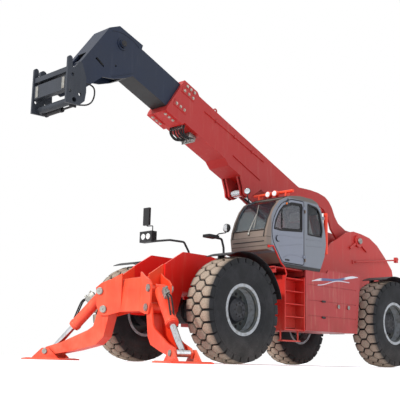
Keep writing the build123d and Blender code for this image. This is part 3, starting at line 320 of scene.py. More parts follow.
def gradedPaint(name, freshShadedColour, faded, dust, roughness=0.45, coat=0.12, dirt=0.35, spread=None):
    # paint fades where the sun reaches it and stays fresh and deeper underneath, which on the down-facing
    # faces is also painted shade; it gathers dust low down and on ledges
    paint = Finish(name, Coat_Roughness=0.22, Specular_IOR_Level=0.35)
    spot = paint.place()
    x, y, z = paint.axes(spot)
    up = paint.normal()[2]
    patches = paint.noise(spot, 1.7, 4, 0.6)
    grain = paint.noise(spot, 38.0, 3, 0.7)
    streaks = paint.noise(paint.place(scale=(9, 9, 1.1)), 1.6, 3, 0.6)
    # faces that point down keep the deep fresh colour: real sun fade on the rest, painted shade on the
    # undersides
    sunFadeAndShadeMask = up.ramp(-0.75, 0.05) * (patches.ramp(0.3, 0.7) * 0.5 + 0.5)
    low = z.ramp(0.1, 1.3, 1, 0)
    settled = (up.ramp(0.5, 0.95) * 0.6 + low * 0.6) * patches.ramp(0.35, 0.7) * dirt
    chips = paint.noise(spot, 55.0, 4, 0.75).ramp(0.7, 0.74) * 0.45
    body = paint.mix(sunFadeAndShadeMask, freshShadedColour, faded)
    if spread:
        body = spread(paint, body, x, y, z)
    streaked = paint.mix(streaks.ramp(0.52, 0.8) * 0.09, body, dust)
    dusty = paint.mix(settled, streaked, dust)
    worn = paint.mix(chips, dusty, (74, 60, 56))
    return paint.shade(Base_Color=worn, Roughness=grain * 0.16 + patches * 0.12 + (roughness - 0.1),
                       Coat_Weight=patches.ramp(0.3, 0.7, coat, coat * 0.4),
                       Normal=paint.bump(grain, 0.05, 0.002))


def plainMetal(name, base, worn, roughness, metallic=0.9, scale=26.0):
    metal = Finish(name, Metallic=metallic)
    spot = metal.place()
    specks = metal.noise(spot, scale, 5, 0.7)
    smears = metal.noise(spot, 3.0, 3, 0.6)
    return metal.shade(Base_Color=metal.mix(specks.ramp(0.4, 0.7) * 0.7 + smears * 0.2, base, worn),
                       Roughness=specks * 0.2 + smears * 0.15 + (roughness - 0.15),
                       Normal=metal.bump(specks, 0.12, 0.003))


def mouldedPlastic(name, base, bloom, roughness=0.55, stippled=240.0):
    plastic = Finish(name, Specular_IOR_Level=0.35)
    spot = plastic.place()
    stipple = plastic.noise(spot, stippled, 2, 0.5)
    bloomed = plastic.noise(spot, 4.0, 4, 0.6).ramp(0.4, 0.75)
    return plastic.shade(Base_Color=plastic.mix(bloomed, base, bloom),
                         Roughness=stipple * 0.15 + bloomed * 0.12 + (roughness - 0.1),
                         Normal=plastic.bump(stipple, 0.15, 0.0006))


boom = {"pivot": (-2.9, 2.44), "angle": math.radians(22), "side": 0.23, "pivotFace": 0.432}


def noseShade(paint, body, x, y, z):  # painted shade: a deeper red on the middle of the frame's front
    # the deep red is painted shade where the middle of the frame's front stands in shade
    deep = x.ramp(0.45, 0.95) * (y.size() < 0.5)
    return paint.mix(deep, body, (226, 26, 14))


def cabPanels(paint, body, x, y, z):  # taupe round the windscreen with painted shade in two dark crease lines, black sill, orange red guard tube
    ahead = paint.normal()[0]
    front = (ahead.ramp(0.12, 0.4) + x.ramp(0.74, 0.78)).lowest(1.0) * (z > 1.6)
    # two thin darker taupe lines: painted shade in the front's creases
    crease = ((z - 1.86).size() < 0.006) + ((z - 2.0).size() < 0.005)
    taupe = paint.mix(crease * front, (118, 104, 94), (62, 52, 46))
    panels = paint.mix(front, body, taupe)
    roof = z.ramp(2.7, 2.73)
    topped = paint.mix(roof, panels, (92, 86, 80))
    silled = paint.mix(z.ramp(1.605, 1.625, 1, 0), topped, (24, 22, 24))
    return paint.mix(x < -0.722, silled, (226, 58, 30))


def boomBellyShade(paint, body, x, y, z):  # painted shade: a deep red on the boom's down-facing faces and on the lugs below it, where the boom shades its own underside
    pivotX, pivotZ = boom["pivot"]
    rise = (z - pivotZ) * math.cos(boom["angle"]) - (x - pivotX) * math.sin(boom["angle"])
    # down-facing faces and the lugs below the boom take the painted shade
    under = paint.normal()[2].ramp(-0.8, -0.25, 1, 0) * 0.85
    lugs = rise.ramp(-0.8, -0.7, 1, 0) * (x > -1.6) * 0.9
    return paint.mix(under.highest(lugs), body, (178, 16, 8))


def headPlates(paint, body, x, y, z):  # bare dark steel where the sliding pads have rubbed the inner boom
    along = x * math.cos(boom["angle"]) + z * math.sin(boom["angle"])
    rubbed = along.ramp(2.2, 3.2, 1, 0) * 0.2
    under = paint.normal()[2].ramp(-0.85, -0.7, 1, 0)
    return paint.mix((rubbed + under * 0.9).lowest(1.0), body, (26, 25, 22))


dustColour = (190, 160, 136)
redPaint = gradedPaint("machine red", (196, 24, 16), (182, 62, 58), dustColour,
                       spread=noseShade)
legPaint = gradedPaint("stabiliser orange red", (226, 42, 18), (232, 76, 42), dustColour, 0.42)
boomPaint = gradedPaint("boom red", (168, 22, 14), (168, 50, 48), dustColour, 0.5, 0.1, 0.2,
                       boomBellyShade)
ladderRed = gradedPaint("ladder red", (190, 22, 16), (196, 36, 26), dustColour, 0.5, 0.1)
navyPaint = gradedPaint("boom slate blue", (16, 26, 42), (20, 32, 54), (90, 94, 104),
                        0.5, 0.1, 0.18, headPlates)
carriagePaint = gradedPaint("carriage slate", (30, 34, 40), (46, 51, 60), (108, 106, 102),
                            0.5, 0.08, 0.3)
cabGrey = gradedPaint("cab silver grey", (110, 114, 120), (118, 123, 132), (140, 126, 112),
                      0.4, 0.3, 0.25, cabPanels)
doorGrey = gradedPaint("door silver grey", (116, 120, 130), (124, 129, 142),
                       (150, 144, 134), 0.36, 0.35, 0.2)
castIron = plainMetal("cast iron", (34, 35, 40), (66, 62, 58), 0.7, 0.3)
steelPin = plainMetal("zinc steel", (160, 160, 156), (118, 112, 104), 0.42, 0.8)
boltSteel = plainMetal("bolt heads", (196, 186, 176), (150, 132, 118), 0.5, 0.5)
blackPlastic = mouldedPlastic("black plastic", (24, 24, 26), (46, 46, 50))
blackRubber = mouldedPlastic("black rubber", (20, 20, 22), (44, 43, 44), 0.75)
seatFabric = mouldedPlastic("seat cloth", (50, 52, 58), (70, 72, 78), 0.85, 420.0)
headrestCloth = mouldedPlastic("headrest cover", (206, 206, 196), (178, 176, 166), 0.8, 420.0)
mirrorGlass = plainMetal("mirror glass", (205, 210, 214), (186, 190, 194), 0.12, 1.0)


def lampLens(name, tint, ring):
    lens = Finish(name, Specular_IOR_Level=0.6, IOR=1.5)
    spot = lens.place()
    facets = lens.add("ShaderNodeTexVoronoi", sockets={"Vector": spot, "Scale": 60.0})
    return lens.shade(Base_Color=lens.mix(facets.ramp(0.2, 0.6), tint, ring), Roughness=facets * 0.1 + 0.12,
                      Normal=lens.bump(facets, 0.2, 0.002))


clearLens = lampLens("clear lamp lens", (250, 250, 246), (206, 208, 208))
redLens = lampLens("red lamp lens", (170, 14, 12), (120, 8, 8))
amberLens = lampLens("amber lamp lens", (230, 120, 20), (190, 90, 14))


def chromedRod():
    chrome = Finish("chromed rod", Metallic=1.0)
    smear = chrome.noise(chrome.place(scale=(1, 1, 0.3)), 22.0, 3, 0.6)
    return chrome.shade(Base_Color=chrome.mix(smear.ramp(0.4, 0.8), (206, 208, 212), (166, 164, 162)),
                        Roughness=smear * 0.2 + 0.1)


def cabGlass(name, upper, lower, clear, dark):
    pane = Finish(name, IOR=1.45, Coat_Weight=0.0)
    spot = pane.place()
    film = pane.noise(spot, 1.1, 2, 0.5)
    low = pane.axes(spot)[2].ramp(2.1, 2.7)
    return pane.shade(Base_Color=pane.mix(low, lower, upper),
                      Roughness=film * 0.06 + 0.02, Alpha=film.ramp(0.3, 0.7, clear, dark))


def rimPaint():  # light grey rim, dull dish, and a hub painted dark as painted shade in its recess
    paint = Finish("rim grey", Specular_IOR_Level=0.4)
    spot = paint.place()
    x, y, z = paint.axes(spot)
    ahead = (x - wheelCentres["front_left"].x).size().lowest((x - wheelCentres["rear_left"].x).size())
    rise = z - wheelCentres["front_left"].z
    radius = (ahead * ahead + rise * rise).root()
    scuffs = paint.noise(spot, 14.0, 5, 0.65)
    ring = paint.mix(scuffs.ramp(0.4, 0.7), (166, 170, 174), (132, 132, 130))
    dish = paint.mix(scuffs.ramp(0.4, 0.7), (62, 67, 68), (84, 82, 74))
    # the dark hub colour is painted shade in the wheel's recess
    shadedHub = paint.mix(scuffs.ramp(0.4, 0.7), (30, 32, 38), (50, 50, 54))
    inner = paint.mix(radius.ramp(0.206, 0.212), shadedHub, dish)
    return paint.shade(Base_Color=paint.mix(radius.ramp(0.335, 0.345), inner, ring),
                       Roughness=scuffs * 0.25 + 0.4, Normal=paint.bump(scuffs, 0.08, 0.002))


stripe = {"front": (-0.325, 1.393), "rear": (-1.697, 1.565), "face": 1.1}


def tankPaint():  # the long side tank, with a slate band that rises to the rear and thin waves beside it
    paint = Finish("tank red with wave stripe", Coat_Roughness=0.2, Specular_IOR_Level=0.35)
    spot = paint.place()
    x, y, z = paint.axes(spot)
    patches = paint.noise(spot, 1.9, 4, 0.6)
    streaks = paint.noise(paint.place(scale=(9, 9, 1.1)), 1.6, 3, 0.6)
    low = z.ramp(0.55, 1.25, 1, 0) * patches.ramp(0.3, 0.7)
    faded = paint.mix(patches.ramp(0.35, 0.7), (166, 44, 46), (160, 56, 56))
    streaked = paint.mix(streaks.ramp(0.5, 0.78) * 0.22, faded, dustColour)
    body = paint.mix(low * 0.8, streaked, (146, 34, 22))
    startX, startZ = stripe["front"]
    endX, endZ = stripe["rear"]
    share = (x - startX) / (endX - startX)
    line = share * (endZ - startZ) + startZ
    outside = (y > stripe["face"]) * (share > 0.0) * (share < 1.0)
    wave = (share * 9.0).sine() * 0.014
    band = ((z - line - wave).size() < share.ramp(0.0, 0.2, 0.006, 0.022) * share.ramp(0.85, 1.0, 1.0, 0.3))
    ends = (share.ramp(0.16, 0.22, 1, 0) + share.ramp(0.66, 0.74)).lowest(1.0)
    thin = (z - line + 0.055 + wave * 1.6).size() < 0.008
    striped = paint.mix(band * outside, body, paint.mix(ends, (86, 94, 132), (206, 208, 214)))
    waved = paint.mix(thin * outside * (share > 0.12) * (share < 0.8), striped, (196, 190, 198))
    return paint.shade(Base_Color=waved, Roughness=patches * 0.15 + 0.34,
                       Coat_Weight=patches.ramp(0.3, 0.7, 0.16, 0.06),
                       Normal=paint.bump(paint.noise(spot, 40.0), 0.04, 0.002))


wheelCentres = {}
for corner in ("front_left", "front_right", "rear_left", "rear_right"):
    low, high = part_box("tyre_" + corner)
    wheelCentres[corner] = (low + high) / 2

chrome, rimGrey, tankRed = chromedRod(), rimPaint(), tankPaint()
glass = cabGlass("tinted cab glass", (30, 38, 44), (52, 66, 72), 0.44, 0.5)
doorPane = cabGlass("door glass", (112, 116, 122), (130, 130, 134), 0.34, 0.42)

nodeFinishes = {
    redPaint: ["chassis_frame", "engine_pod", "engine_hood"],
    ladderRed: ["ladder"],
    legPaint: ["nose_frame", "leg_left", "leg_right", "pad_left", "pad_right", "leg_barrel_left",
               "leg_barrel_right", "roof_guard"],
    boomPaint: ["boom_outer", "lift_barrel"],
    navyPaint: ["boom_inner", "tilt_barrel"],
    carriagePaint: ["carriage"],
    tankRed: ["side_tank"],
    cabGrey: ["cab_shell"],
    doorGrey: ["cab_door"],
    glass: ["cab_glass"],
    doorPane: ["door_glass"],
    chrome: ["lift_rod", "tilt_rod", "leg_rod_left", "leg_rod_right"],
    castIron: ["axle_front", "axle_rear", "engine_block"],
    blackPlastic: ["mirror_left", "mirror_right", "steering_column", *["knuckle_" + w for w in wheelCentres]],
    rimGrey: ["rim_" + w for w in wheelCentres],
    blackRubber: ["seat", *["tyre_" + w for w in wheelCentres]],
}
for finish, names in nodeFinishes.items():
    for name in names:
        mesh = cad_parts[name].data
        mesh.materials.clear()
        mesh.materials.append(finish)
print("finishes on the CAD nodes")

tyre = {
    "carcass": [(-0.19, 0.362), (-0.2, 0.386), (-0.226, 0.424), (-0.238, 0.452), (-0.2405, 0.47),
                (-0.244, 0.474), (-0.248, 0.54), (-0.2486, 0.6), (-0.245, 0.64), (-0.24, 0.672),
                (-0.244, 0.678), (-0.2425, 0.69), (-0.226, 0.7), (-0.208, 0.728), (-0.17, 0.748),
                (-0.09, 0.758)],
    "steps": 108,
    "blocks": 27,
    "crown": {"length": 0.168, "width": 0.196, "foot": 0.745, "top": 0.7985},
    "shoulder": {"tip": 0.064, "inner": 0.112, "outer": 0.236, "length": 0.164, "foot": 0.735, "top": 0.796,
                 "drop": 0.024, "skirt": 0.06},
}


def rollOver(block, centre):  # wraps a straight block round the wheel
    for vertex in block.data.vertices:
        out = vertex.co - centre
        turn = out.x / tyre["crown"]["top"]
        vertex.co = centre + Vector((out.z * math.sin(turn), out.y, out.z * math.cos(turn)))
    return block


def halve(block, centre):  # an edge across the block's middle, so that it follows the wheel
    editAll(block)
    bpy.ops.mesh.bisect(plane_co=centre, plane_no=(1, 0, 0))
    leaveEdit()


def crownBlock(centre):
    shape = tyre["crown"]
    height = shape["top"] - shape["foot"]
    block = addDisc("crown block", centre + Vector((0, 0, shape["foot"] + height / 2)), shape["width"] / 2,
                    height, "Z", 6)
    editAll(block)
    across = shape["length"] / (shape["width"] * math.cos(math.pi / 6))
    bpy.ops.transform.resize(value=(across, 1, 1), center_override=centre)
    leaveEdit()
    shiftFaces(block, upward, grow=(0.86, 0.86, 1))
    halve(block, centre)
    return softenEdges(rollOver(block, centre), 0.007, 2, 25)


def shoulderBlock(centre):
    shape = tyre["shoulder"]
    middle, height = (shape["inner"] + shape["outer"]) / 2, shape["top"] - shape["foot"]
    block = addBlock("shoulder block", centre + Vector((0, middle, shape["foot"] + height / 2)),
                     (shape["length"], shape["outer"] - shape["inner"], height))
    extrudeFaces(block, facing((0, -1, 0)), (0, shape["tip"] - shape["inner"], 0), (0.14, 1, 1))
    shiftFaces(block, toLeft, (0, 0, -shape["drop"]))
    extrudeFaces(block, lambda f: f.normal.z < -0.5 and f.center.y > centre.y + shape["inner"],
                 (0, 0.006, -shape["skirt"]))
    shiftFaces(block, facing((0, 0, 1), 0.7), grow=(0.9, 0.97, 1))
    halve(block, centre)
    return softenEdges(rollOver(block, centre), 0.007, 2, 25)


def buildTyre():
    centre = wheelCentres["front_left"]
    half = tyre["carcass"]
    profile = half + [(-a, r) for a, r in reversed(half)] + [half[0]]
    parts = [spinProfile("tyre", profile, centre, (0, 1, 0), tyre["steps"])]
    smooth(parts[0], 30)
    pitch = 2 * math.pi / tyre["blocks"]
    there, back = Matrix.Translation(centre), Matrix.Translation(-centre)
    mirrorAcross = there @ Matrix.Scale(-1, 4, (0, 1, 0)) @ back
    rows = ((crownBlock(centre), 0.0, [Matrix.Identity(4)]),
            (shoulderBlock(centre), 0.5, [Matrix.Identity(4), mirrorAcross]))
    for original, stagger, sides in rows:
        smooth(original, 25)
        for side in sides:
            for place in range(tyre["blocks"]):
                turn = Matrix.Rotation((place + stagger) * pitch, 4, (0, 1, 0))
                parts.append(copyTo(original, there @ turn @ back @ side))
        bpy.data.objects.remove(original)
    return joinPieces("tyre", parts)


def markTread(piece, centre):  # 0 in the grooves and on the walls, 1 on the tops of the blocks
    mark = piece.data.attributes.new("tread", "FLOAT", "POINT")
    for vertex, value in zip(piece.data.vertices, mark.data):
        across, out = vertex.co.y - centre.y, vertex.co - centre
        radius = math.hypot(out.x, out.z)
        value.value = min(max((radius - 0.752) / 0.03, 0), 1) * min(max((0.262 - abs(across)) / 0.05, 0), 1)


def tyreRubber():
    rubber = Finish("tyre rubber", Specular_IOR_Level=0.25)
    tread = rubber.add("ShaderNodeAttribute", {"attribute_name": "tread"}, out=2)
    spot = rubber.place()
    fine = rubber.noise(spot, 60.0, 4, 0.7)
    patches = rubber.noise(spot, 5.0, 4, 0.6)
    low = rubber.axes(spot)[2].ramp(0.0, 0.6, 0.5, 0.0)
    wall = rubber.mix(patches.ramp(0.35, 0.75), (30, 31, 33), (44, 44, 47))
    dust = rubber.mix(fine.ramp(0.3, 0.7), (176, 160, 144), (142, 126, 110))
    covered = (tread.ramp(0.3, 0.85) * 0.94 + low * patches * 0.3).lowest(1.0)
    return rubber.shade(Base_Color=rubber.mix(covered, wall, dust), Roughness=fine * 0.2 + 0.65,
                        Normal=rubber.bump(fine, 0.3, 0.004))


def fitTyres():
    rubber = tyreRubber()
    master = buildTyre()
    master.data.materials.clear()
    master.data.materials.append(rubber)
    start = wheelCentres["front_left"]
    for name, centre in wheelCentres.items():
        piece = copyTo(master, Matrix.Translation(centre - start))
        piece.name = "treaded_tyre_" + name
        markTread(piece, centre)
        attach(piece, "wheel_" + name)
        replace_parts(piece, "tyre_" + name)
    bpy.data.objects.remove(master)


fitTyres()
print("tyres")


def turnTo(axis):
    return Vector(axis).to_track_quat("Z", "Y").to_matrix().to_4x4()


bolts = {"head": 0.021, "height": 0.014, "washer": 0.028, "thickness": 0.005}
pins = {"radius": 0.052, "height": 0.016, "step": 0.012, "nipple": 0.006}


def boltMaster():  # a hexagon head on a washer, standing on z = 0
    head = addDisc("bolt", (0, 0, 0.01), bolts["head"], bolts["height"], "Z", 6, 0.002, 1)
    washer = addDisc("washer", (0, 0, 0.0015), bolts["washer"], bolts["thickness"], "Z", 20)
    insetFaces(washer, upward, 0.003, -0.001)
    return joinPieces("bolt", [head, washer])


def pinMaster():  # a pin's end: a stepped cap with a grease nipple
    cap = addDisc("pin cap", (0, 0, 0.006), pins["radius"], pins["height"], "Z", 28, 0.004)
    insetFaces(cap, upward, pins["step"])
    extrudeFaces(cap, lambda f: f.normal.z > 0.9 and f.area > 0.003, (0, 0, 0.008))
    nipple = addDisc("nipple", (0, 0, 0.026), pins["nipple"], 0.014, "Z", 10, 0.002, 1)
    return joinPieces("pin cap", [cap, nipple])


def placed(master, spots, name, body, material):  # spots are place, axis and size
    parts = [copyTo(master, Matrix.Translation(spot) @ turnTo(axis) @ Matrix.Scale(size, 4))
             for spot, axis, size in spots]
    return fit(name, parts, body, material)


bolt, pinCap = boltMaster(), pinMaster()

wheelTrim = {
    "lockRing": [(0.15, 0.352), (0.168, 0.386), (0.194, 0.386), (0.202, 0.38), (0.202, 0.366),
                 (0.192, 0.361), (0.192, 0.352), (0.2, 0.347), (0.2, 0.336), (0.186, 0.329),
                 (0.182, 0.318), (0.15, 0.314), (0.15, 0.352)],
    "nuts": {"count": 14, "radius": 0.248, "face": 0.001, "size": 0.95},
    "hubBolts": {"count": 8, "radius": 0.098, "face": 0.126, "size": 0.5},
}


def trimWheels():
    for name, centre in wheelCentres.items():
        side = 1 if centre.y > 0 else -1
        ring = spinProfile("lock_ring_" + name, wheelTrim["lockRing"], centre, (0, side, 0), 72)
        dress(ring, "wheel_" + name, rimGrey, 24)
        spots = []
        for circle in (wheelTrim["nuts"], wheelTrim["hubBolts"]):
            for place in range(circle["count"]):
                angle = 2 * math.pi * place / circle["count"]
                out = Vector((math.cos(angle), 0, math.sin(angle))) * circle["radius"]
                out.y = side * circle["face"]
                spots.append((centre + out, (0, side, 0), circle["size"]))
        placed(bolt, spots, "wheel_nuts_" + name, "wheel_" + name, castIron)


trimWheels()
print("wheel rings and nuts")

boomAlong = Vector((math.cos(boom["angle"]), 0, math.sin(boom["angle"])))
boomUp = Vector((-math.sin(boom["angle"]), 0, math.cos(boom["angle"])))


def onBoom(s, n, y):  # s runs along the boom from its pivot, n across it
    return Vector((boom["pivot"][0], 0, boom["pivot"][1])) + boomAlong * s + boomUp * n + Vector((0, y, 0))


def onBoomBlock(name, s, n, y, size, soft=0.004):
    block = addBlock(name, (0, 0, 0), size, soft)
    turn = Matrix((boomAlong, (0, 1, 0), boomUp)).transposed().to_4x4()
    block.data.transform(Matrix.Translation(onBoom(s, n, y)) @ turn)
    return block


collar = {  # each row is its height on the boom's side, its bolts and its plate's height
    "rows": ((0.0, (4.924, 5.028, 5.132), 0.1), (-0.303, (5.006, 5.102, 5.197), 0.11),
             (0.105, (4.93, 5.02, 5.11), 0)),
    "belly": (-0.15, 0.15), "bellyBolts": (5.09, 5.18, 5.27), "bellyDepth": -0.537,
    "boltSize": 0.95, "boltStand": 0.008, "plateStand": 0.003, "plate": (0.31, 0.012),
    "bellyPlate": (0.29, 0.11, 0.012),
}


def trimCollar():
    spots, plates = [], []
    for side in (1, -1):
        for n, places, height in collar["rows"]:
            y = side * (boom["side"] + collar["boltStand"])
            spots += [(onBoom(s, n, y), (0, side, 0), collar["boltSize"]) for s in places]
            if height:
                y = side * (boom["side"] + collar["plateStand"])
                size = (*collar["plate"], height)
                plates.append(onBoomBlock("pad plate", (places[0] + places[-1]) / 2, n, y, size))
                insetFaces(plates[-1], facing((0, side, 0)), 0.008)
    depth = collar["bellyDepth"]
    for y in collar["belly"]:
        spots += [(onBoom(s, depth - collar["boltStand"], y), -boomUp, collar["boltSize"])
                  for s in collar["bellyBolts"]]
        middle = collar["bellyBolts"][1]
        plates.append(onBoomBlock("pad plate", middle, depth - collar["plateStand"], y, collar["bellyPlate"]))
    placed(bolt, spots, "collar_bolts", "boom", boltSteel)
    fit("collar_plates", plates, "boom", boomPaint)


trimCollar()

boomLines = {
    "runs": ([(4.6, -0.042), (3.9, -0.02), (3.3, -0.002), (2.955, 0.008)],
             [(3.7, -0.34), (2.92, -0.352)]),
    "radius": 0.011, "clamps": (4.3, 3.8, 3.3), "clampStart": (4.6, -0.042), "clampSlope": 0.0304,
    "clamp": (0.04, 0.024, 0.05), "pivotCap": 1.15,
}


def trimBoomSides():  # steel lines under clamps along both sides of the outer boom
    for side, name in ((1, "left"), (-1, "right")):
        y = side * (boom["side"] + 0.006)
        runs = [bendTube("boom line", [onBoom(s, n, y) for s, n in run], boomLines["radius"])
                for run in boomLines["runs"]]
        startS, startN = boomLines["clampStart"]
        for s in boomLines["clamps"]:
            n = startN + (startS - s) * boomLines["clampSlope"]
            runs.append(onBoomBlock("clamp", s, n, side * (boom["side"] + 0.012), boomLines["clamp"]))
        fit("boom_lines_" + name, runs, "boom", boomPaint)
    caps = [(onBoom(0, 0, side * boom["pivotFace"]), (0, side, 0), boomLines["pivotCap"]) for side in (1, -1)]
    placed(pinCap, caps, "boom_pivot_caps", "boom", steelPin)


trimBoomSides()

hoseBundle = {
    "count": 7, "start": 4.86, "end": 4.5, "top": -0.512, "width": 0.3, "radius": 0.013, "drop": 0.13,
    "valveBlock": (4.6, -0.545, 0.02, (0.16, 0.26, 0.1)), "plugs": 6,
}


def hangHoses():  # the hydraulic hoses and their block below the boom, behind the collar
    random.seed(5)
    hoses = []
    end, top = hoseBundle["end"], hoseBundle["top"]
    for number in range(hoseBundle["count"]):
        y = (number / (hoseBundle["count"] - 1) - 0.5) * hoseBundle["width"] + 0.03
        drop = hoseBundle["drop"] * (0.75 + 0.35 * random.random())
        start = hoseBundle["start"] + 0.03 * random.random()
        route = [onBoom(start, top + 0.03, y), onBoom(start, top - drop * 0.5, y),
                 onBoom(start - 0.06, top - drop, y + 0.03 * random.random()),
                 onBoom((start + end) / 2, top - drop * 0.85, y - 0.02 * random.random()),
                 onBoom(end + 0.1, top - drop * 0.45, y * 0.8), onBoom(end + 0.06, top - 0.05, y * 0.8)]
        hoses.append(bendTube("boom hose", route, hoseBundle["radius"]))
    fit("boom_hoses", hoses, "boom", blackRubber, 60)
    s, n, y, size = hoseBundle["valveBlock"]
    parts = [onBoomBlock("valve block", s, n, y, size, 0.006)]
    insetFaces(parts[0], facing(-boomUp), 0.02, -0.006)
    for number in range(hoseBundle["plugs"]):
        spot = onBoom(s + 0.05 * (number % 2) - 0.025, n - 0.062, y - 0.1 + 0.04 * number)
        parts.append(addDisc("plug", spot, 0.015, 0.05, -boomUp, 8, 0.003, 1))
        spot = onBoom(s + 0.27, n + 0.02, y - 0.13 + 0.05 * number)
        parts.append(addDisc("hose end", spot, 0.019, 0.06, -boomUp, 6, 0.003, 1))
    fit("boom_valve_block", parts, "boom", steelPin)


hangHoses()
print("boom collar, lines and hoses")

head = {
    "side": 0.19, "boss": (6.505, -0.106), "bossFace": 0.228, "bossCap": 0.9, "weld": 0.006,
    "welds": ([(6.2, 0.06), (6.34, 0.09), (6.62, 0.06), (6.75, -0.04)],
              [(6.14, -0.4), (6.3, -0.56), (6.46, -0.7)]),
}


def trimHead():
    caps, beads = [], []
    for side in (1, -1):
        caps.append((onBoom(*head["boss"], side * head["bossFace"]), (0, side, 0), head["bossCap"]))
        for line in head["welds"]:
            route = [onBoom(s, n, side * (head["side"] + 0.001)) for s, n in line]
            beads.append(bendTube("weld", route, head["weld"]))
    placed(pinCap, caps, "head_pin_caps", "extension", castIron)
    fit("head_welds", beads, "extension", navyPaint)


trimHead()

carriage = {
    "pins": ((4.0, 0.236, 3.9, 0.85), (4.02, 0.092, 4.13, 0.75)),
    "strips": (-0.32, 0.32), "strip": (4.317, 3.82, (0.012, 0.06, 0.17)),
    "lock": {"x": 4.11, "z": 3.53, "start": -0.36, "end": 0.05, "rodEnd": 0.33, "radius": 0.032,
             "lugs": (-0.34, 0.33), "lug": (0.12, 0.024, 0.085)},
}


def trimCarriage():
    caps = [(Vector((x, side * y, z)), (0, side, 0), size) for side in (1, -1) for x, y, z, size
            in carriage["pins"]]
    placed(pinCap, caps, "carriage_pin_caps", "tool_carriage", castIron)
    lock = carriage["lock"]
    x, z, radius = lock["x"], lock["z"], lock["radius"]
    start, end = lock["start"], lock["end"]
    rods = [("barrel", start, end, radius), ("rod", end - 0.01, lock["rodEnd"], radius / 2),
            ("gland", start, start + 0.04, radius + 0.008), ("gland", end - 0.04, end, radius + 0.008)]
    parts = [addDisc(part, (x, (low + high) / 2, z), thick, high - low, "Y", 24, 0.004)
             for part, low, high, thick in rods]
    parts += [addBlock("lug", (x + 0.03, y, z + 0.016), lock["lug"], 0.008) for y in lock["lugs"]]
    fit("lock_cylinder", parts, "tool_carriage", castIron)
    x, z, size = carriage["strip"]
    strips = [addBlock("wear strip", (x, y, z), size, 0.003) for y in carriage["strips"]]
    for strip in strips:
        insetFaces(strip, toFront, 0.01, -0.002)
    fit("carriage_wear_strips", strips, "tool_carriage", steelPin)


trimCarriage()

carriageHose = {
    "route": [(3.882, 0.19, 3.94), (3.882, 0.24, 3.94), (3.83, 0.29, 3.93), (3.75, 0.3, 3.895),
              (3.738, 0.3, 3.79), (3.775, 0.3, 3.675), (3.86, 0.3, 3.605), (3.96, 0.302, 3.58),
              (4.04, 0.31, 3.562), (4.105, 0.322, 3.548)],
    "radius": 0.0115,
}


def spanOf(hose):  # the length of the smooth line that the hose is drawn along
    thin = hose.data.copy()
    thin.bevel_depth = 0
    thin.use_fill_caps = False
    line = bpy.data.objects.new("measured line", thin)
    mesh = bpy.data.meshes.new_from_object(line)
    length = sum((mesh.vertices[a].co - mesh.vertices[b].co).length for a, b in
                 (edge.vertices for edge in mesh.edges))
    bpy.data.objects.remove(line)
    bpy.data.meshes.remove(mesh)
    bpy.data.curves.remove(thin)
    return length


def hangCarriageHose():  # from the side of the boom's head to the carriage's lock
    route, radius = carriageHose["route"], carriageHose["radius"]
    hose = routeCurve("carriage_hose", route, radius)
    hose.data.materials.append(blackRubber)
    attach(hose, "tool_carriage")
    spanOf(hose)


hangCarriageHose()
print("head and carriage")

cab = {
    "doorFace": 1.18, "innerFace": 0.42, "creaseRadius": 0.005, "corner": 0.05,
    "doorWindow": [(-0.05, 2.18), (0.53, 2.13), (0.7, 2.14), (0.665, 2.29), (0.565, 2.46),
                   (0.455, 2.565), (0.25, 2.645), (-0.05, 2.66)],
    "slidingPane": [(-0.02, 2.2), (0.5, 2.16), (0.5, 2.53), (0.24, 2.622), (-0.02, 2.632)],
    "quarterWindow": [(-0.59, 2.15), (-0.19, 2.15), (-0.19, 2.69), (-0.45, 2.665), (-0.54, 2.59),
                      (-0.62, 2.3)],
    "door": [(-0.095, 1.625), (0.478, 1.625), (0.672, 1.869), (0.728, 1.969), (0.754, 2.12),
             (0.716, 2.298), (0.607, 2.487), (0.488, 2.605), (0.259, 2.695), (-0.095, 2.709)],
    "doorCreases": [[(0.54, 2.05), (0.42, 2.075), (0.18, 2.06), (-0.06, 2.085)],
                    [(0.56, 1.88), (0.4, 1.9), (0.16, 1.95), (-0.06, 1.975)],
                    [(0.46, 1.7), (0.36, 1.755), (0.2, 1.775), (-0.06, 1.765)]],
    "panelCreases": [[(-0.16, 2.075), (-0.4, 2.085), (-0.6, 2.1)], [(-0.16, 1.965), (-0.6, 1.99)]],
}
seals = {  # outline, how deep under the door's face, width, how proud, body
    "door_window_seal": ("doorWindow", 0, 0.026, 0.006, "door"),
    "sliding_pane_frame": ("slidingPane", 0.008, 0.022, 0.008, "door"),
    "quarter_window_seal": ("quarterWindow", 0, 0.026, 0.006, "chassis"),
    "door_edge_seal": ("door", 0.006, 0.012, 0.008, "door"),
}


def sealStrip(name, outline, deep, width, proud, body):
    deselectAll()
    bpy.ops.mesh.primitive_circle_add(vertices=len(cab[outline]), radius=1, fill_type="NGON")
    seal = bpy.context.object
    seal.name = name
    for vertex, (x, z) in zip(seal.data.vertices, cab[outline]):
        vertex.co = (x, cab["doorFace"] - deep, z)
    editAll(seal)
    bpy.ops.mesh.bevel(offset=cab["corner"], segments=4, affect="VERTICES", clamp_overlap=True)
    bpy.ops.mesh.select_all(action="SELECT")
    bpy.ops.mesh.inset(thickness=width, depth=0)
    bpy.ops.mesh.delete(type="FACE")
    faceOutward(seal)
    modify(seal, "SOLIDIFY", thickness=2 * proud, offset=0)
    faceOutward(seal)
    softenEdges(seal, 0.002, 1, 40)
    dress(seal, body, blackRubber)


def faceOutward(piece):
    editAll(piece)
    bpy.ops.mesh.normals_make_consistent(inside=False)
    leaveEdit()


def creaseStrips(name, lines, body, material):
    strips = [bendTube("crease", [(x, cab["doorFace"], z) for x, z in line], cab["creaseRadius"])
              for line in cab[lines]]
    fit(name, strips, body, material, 60)


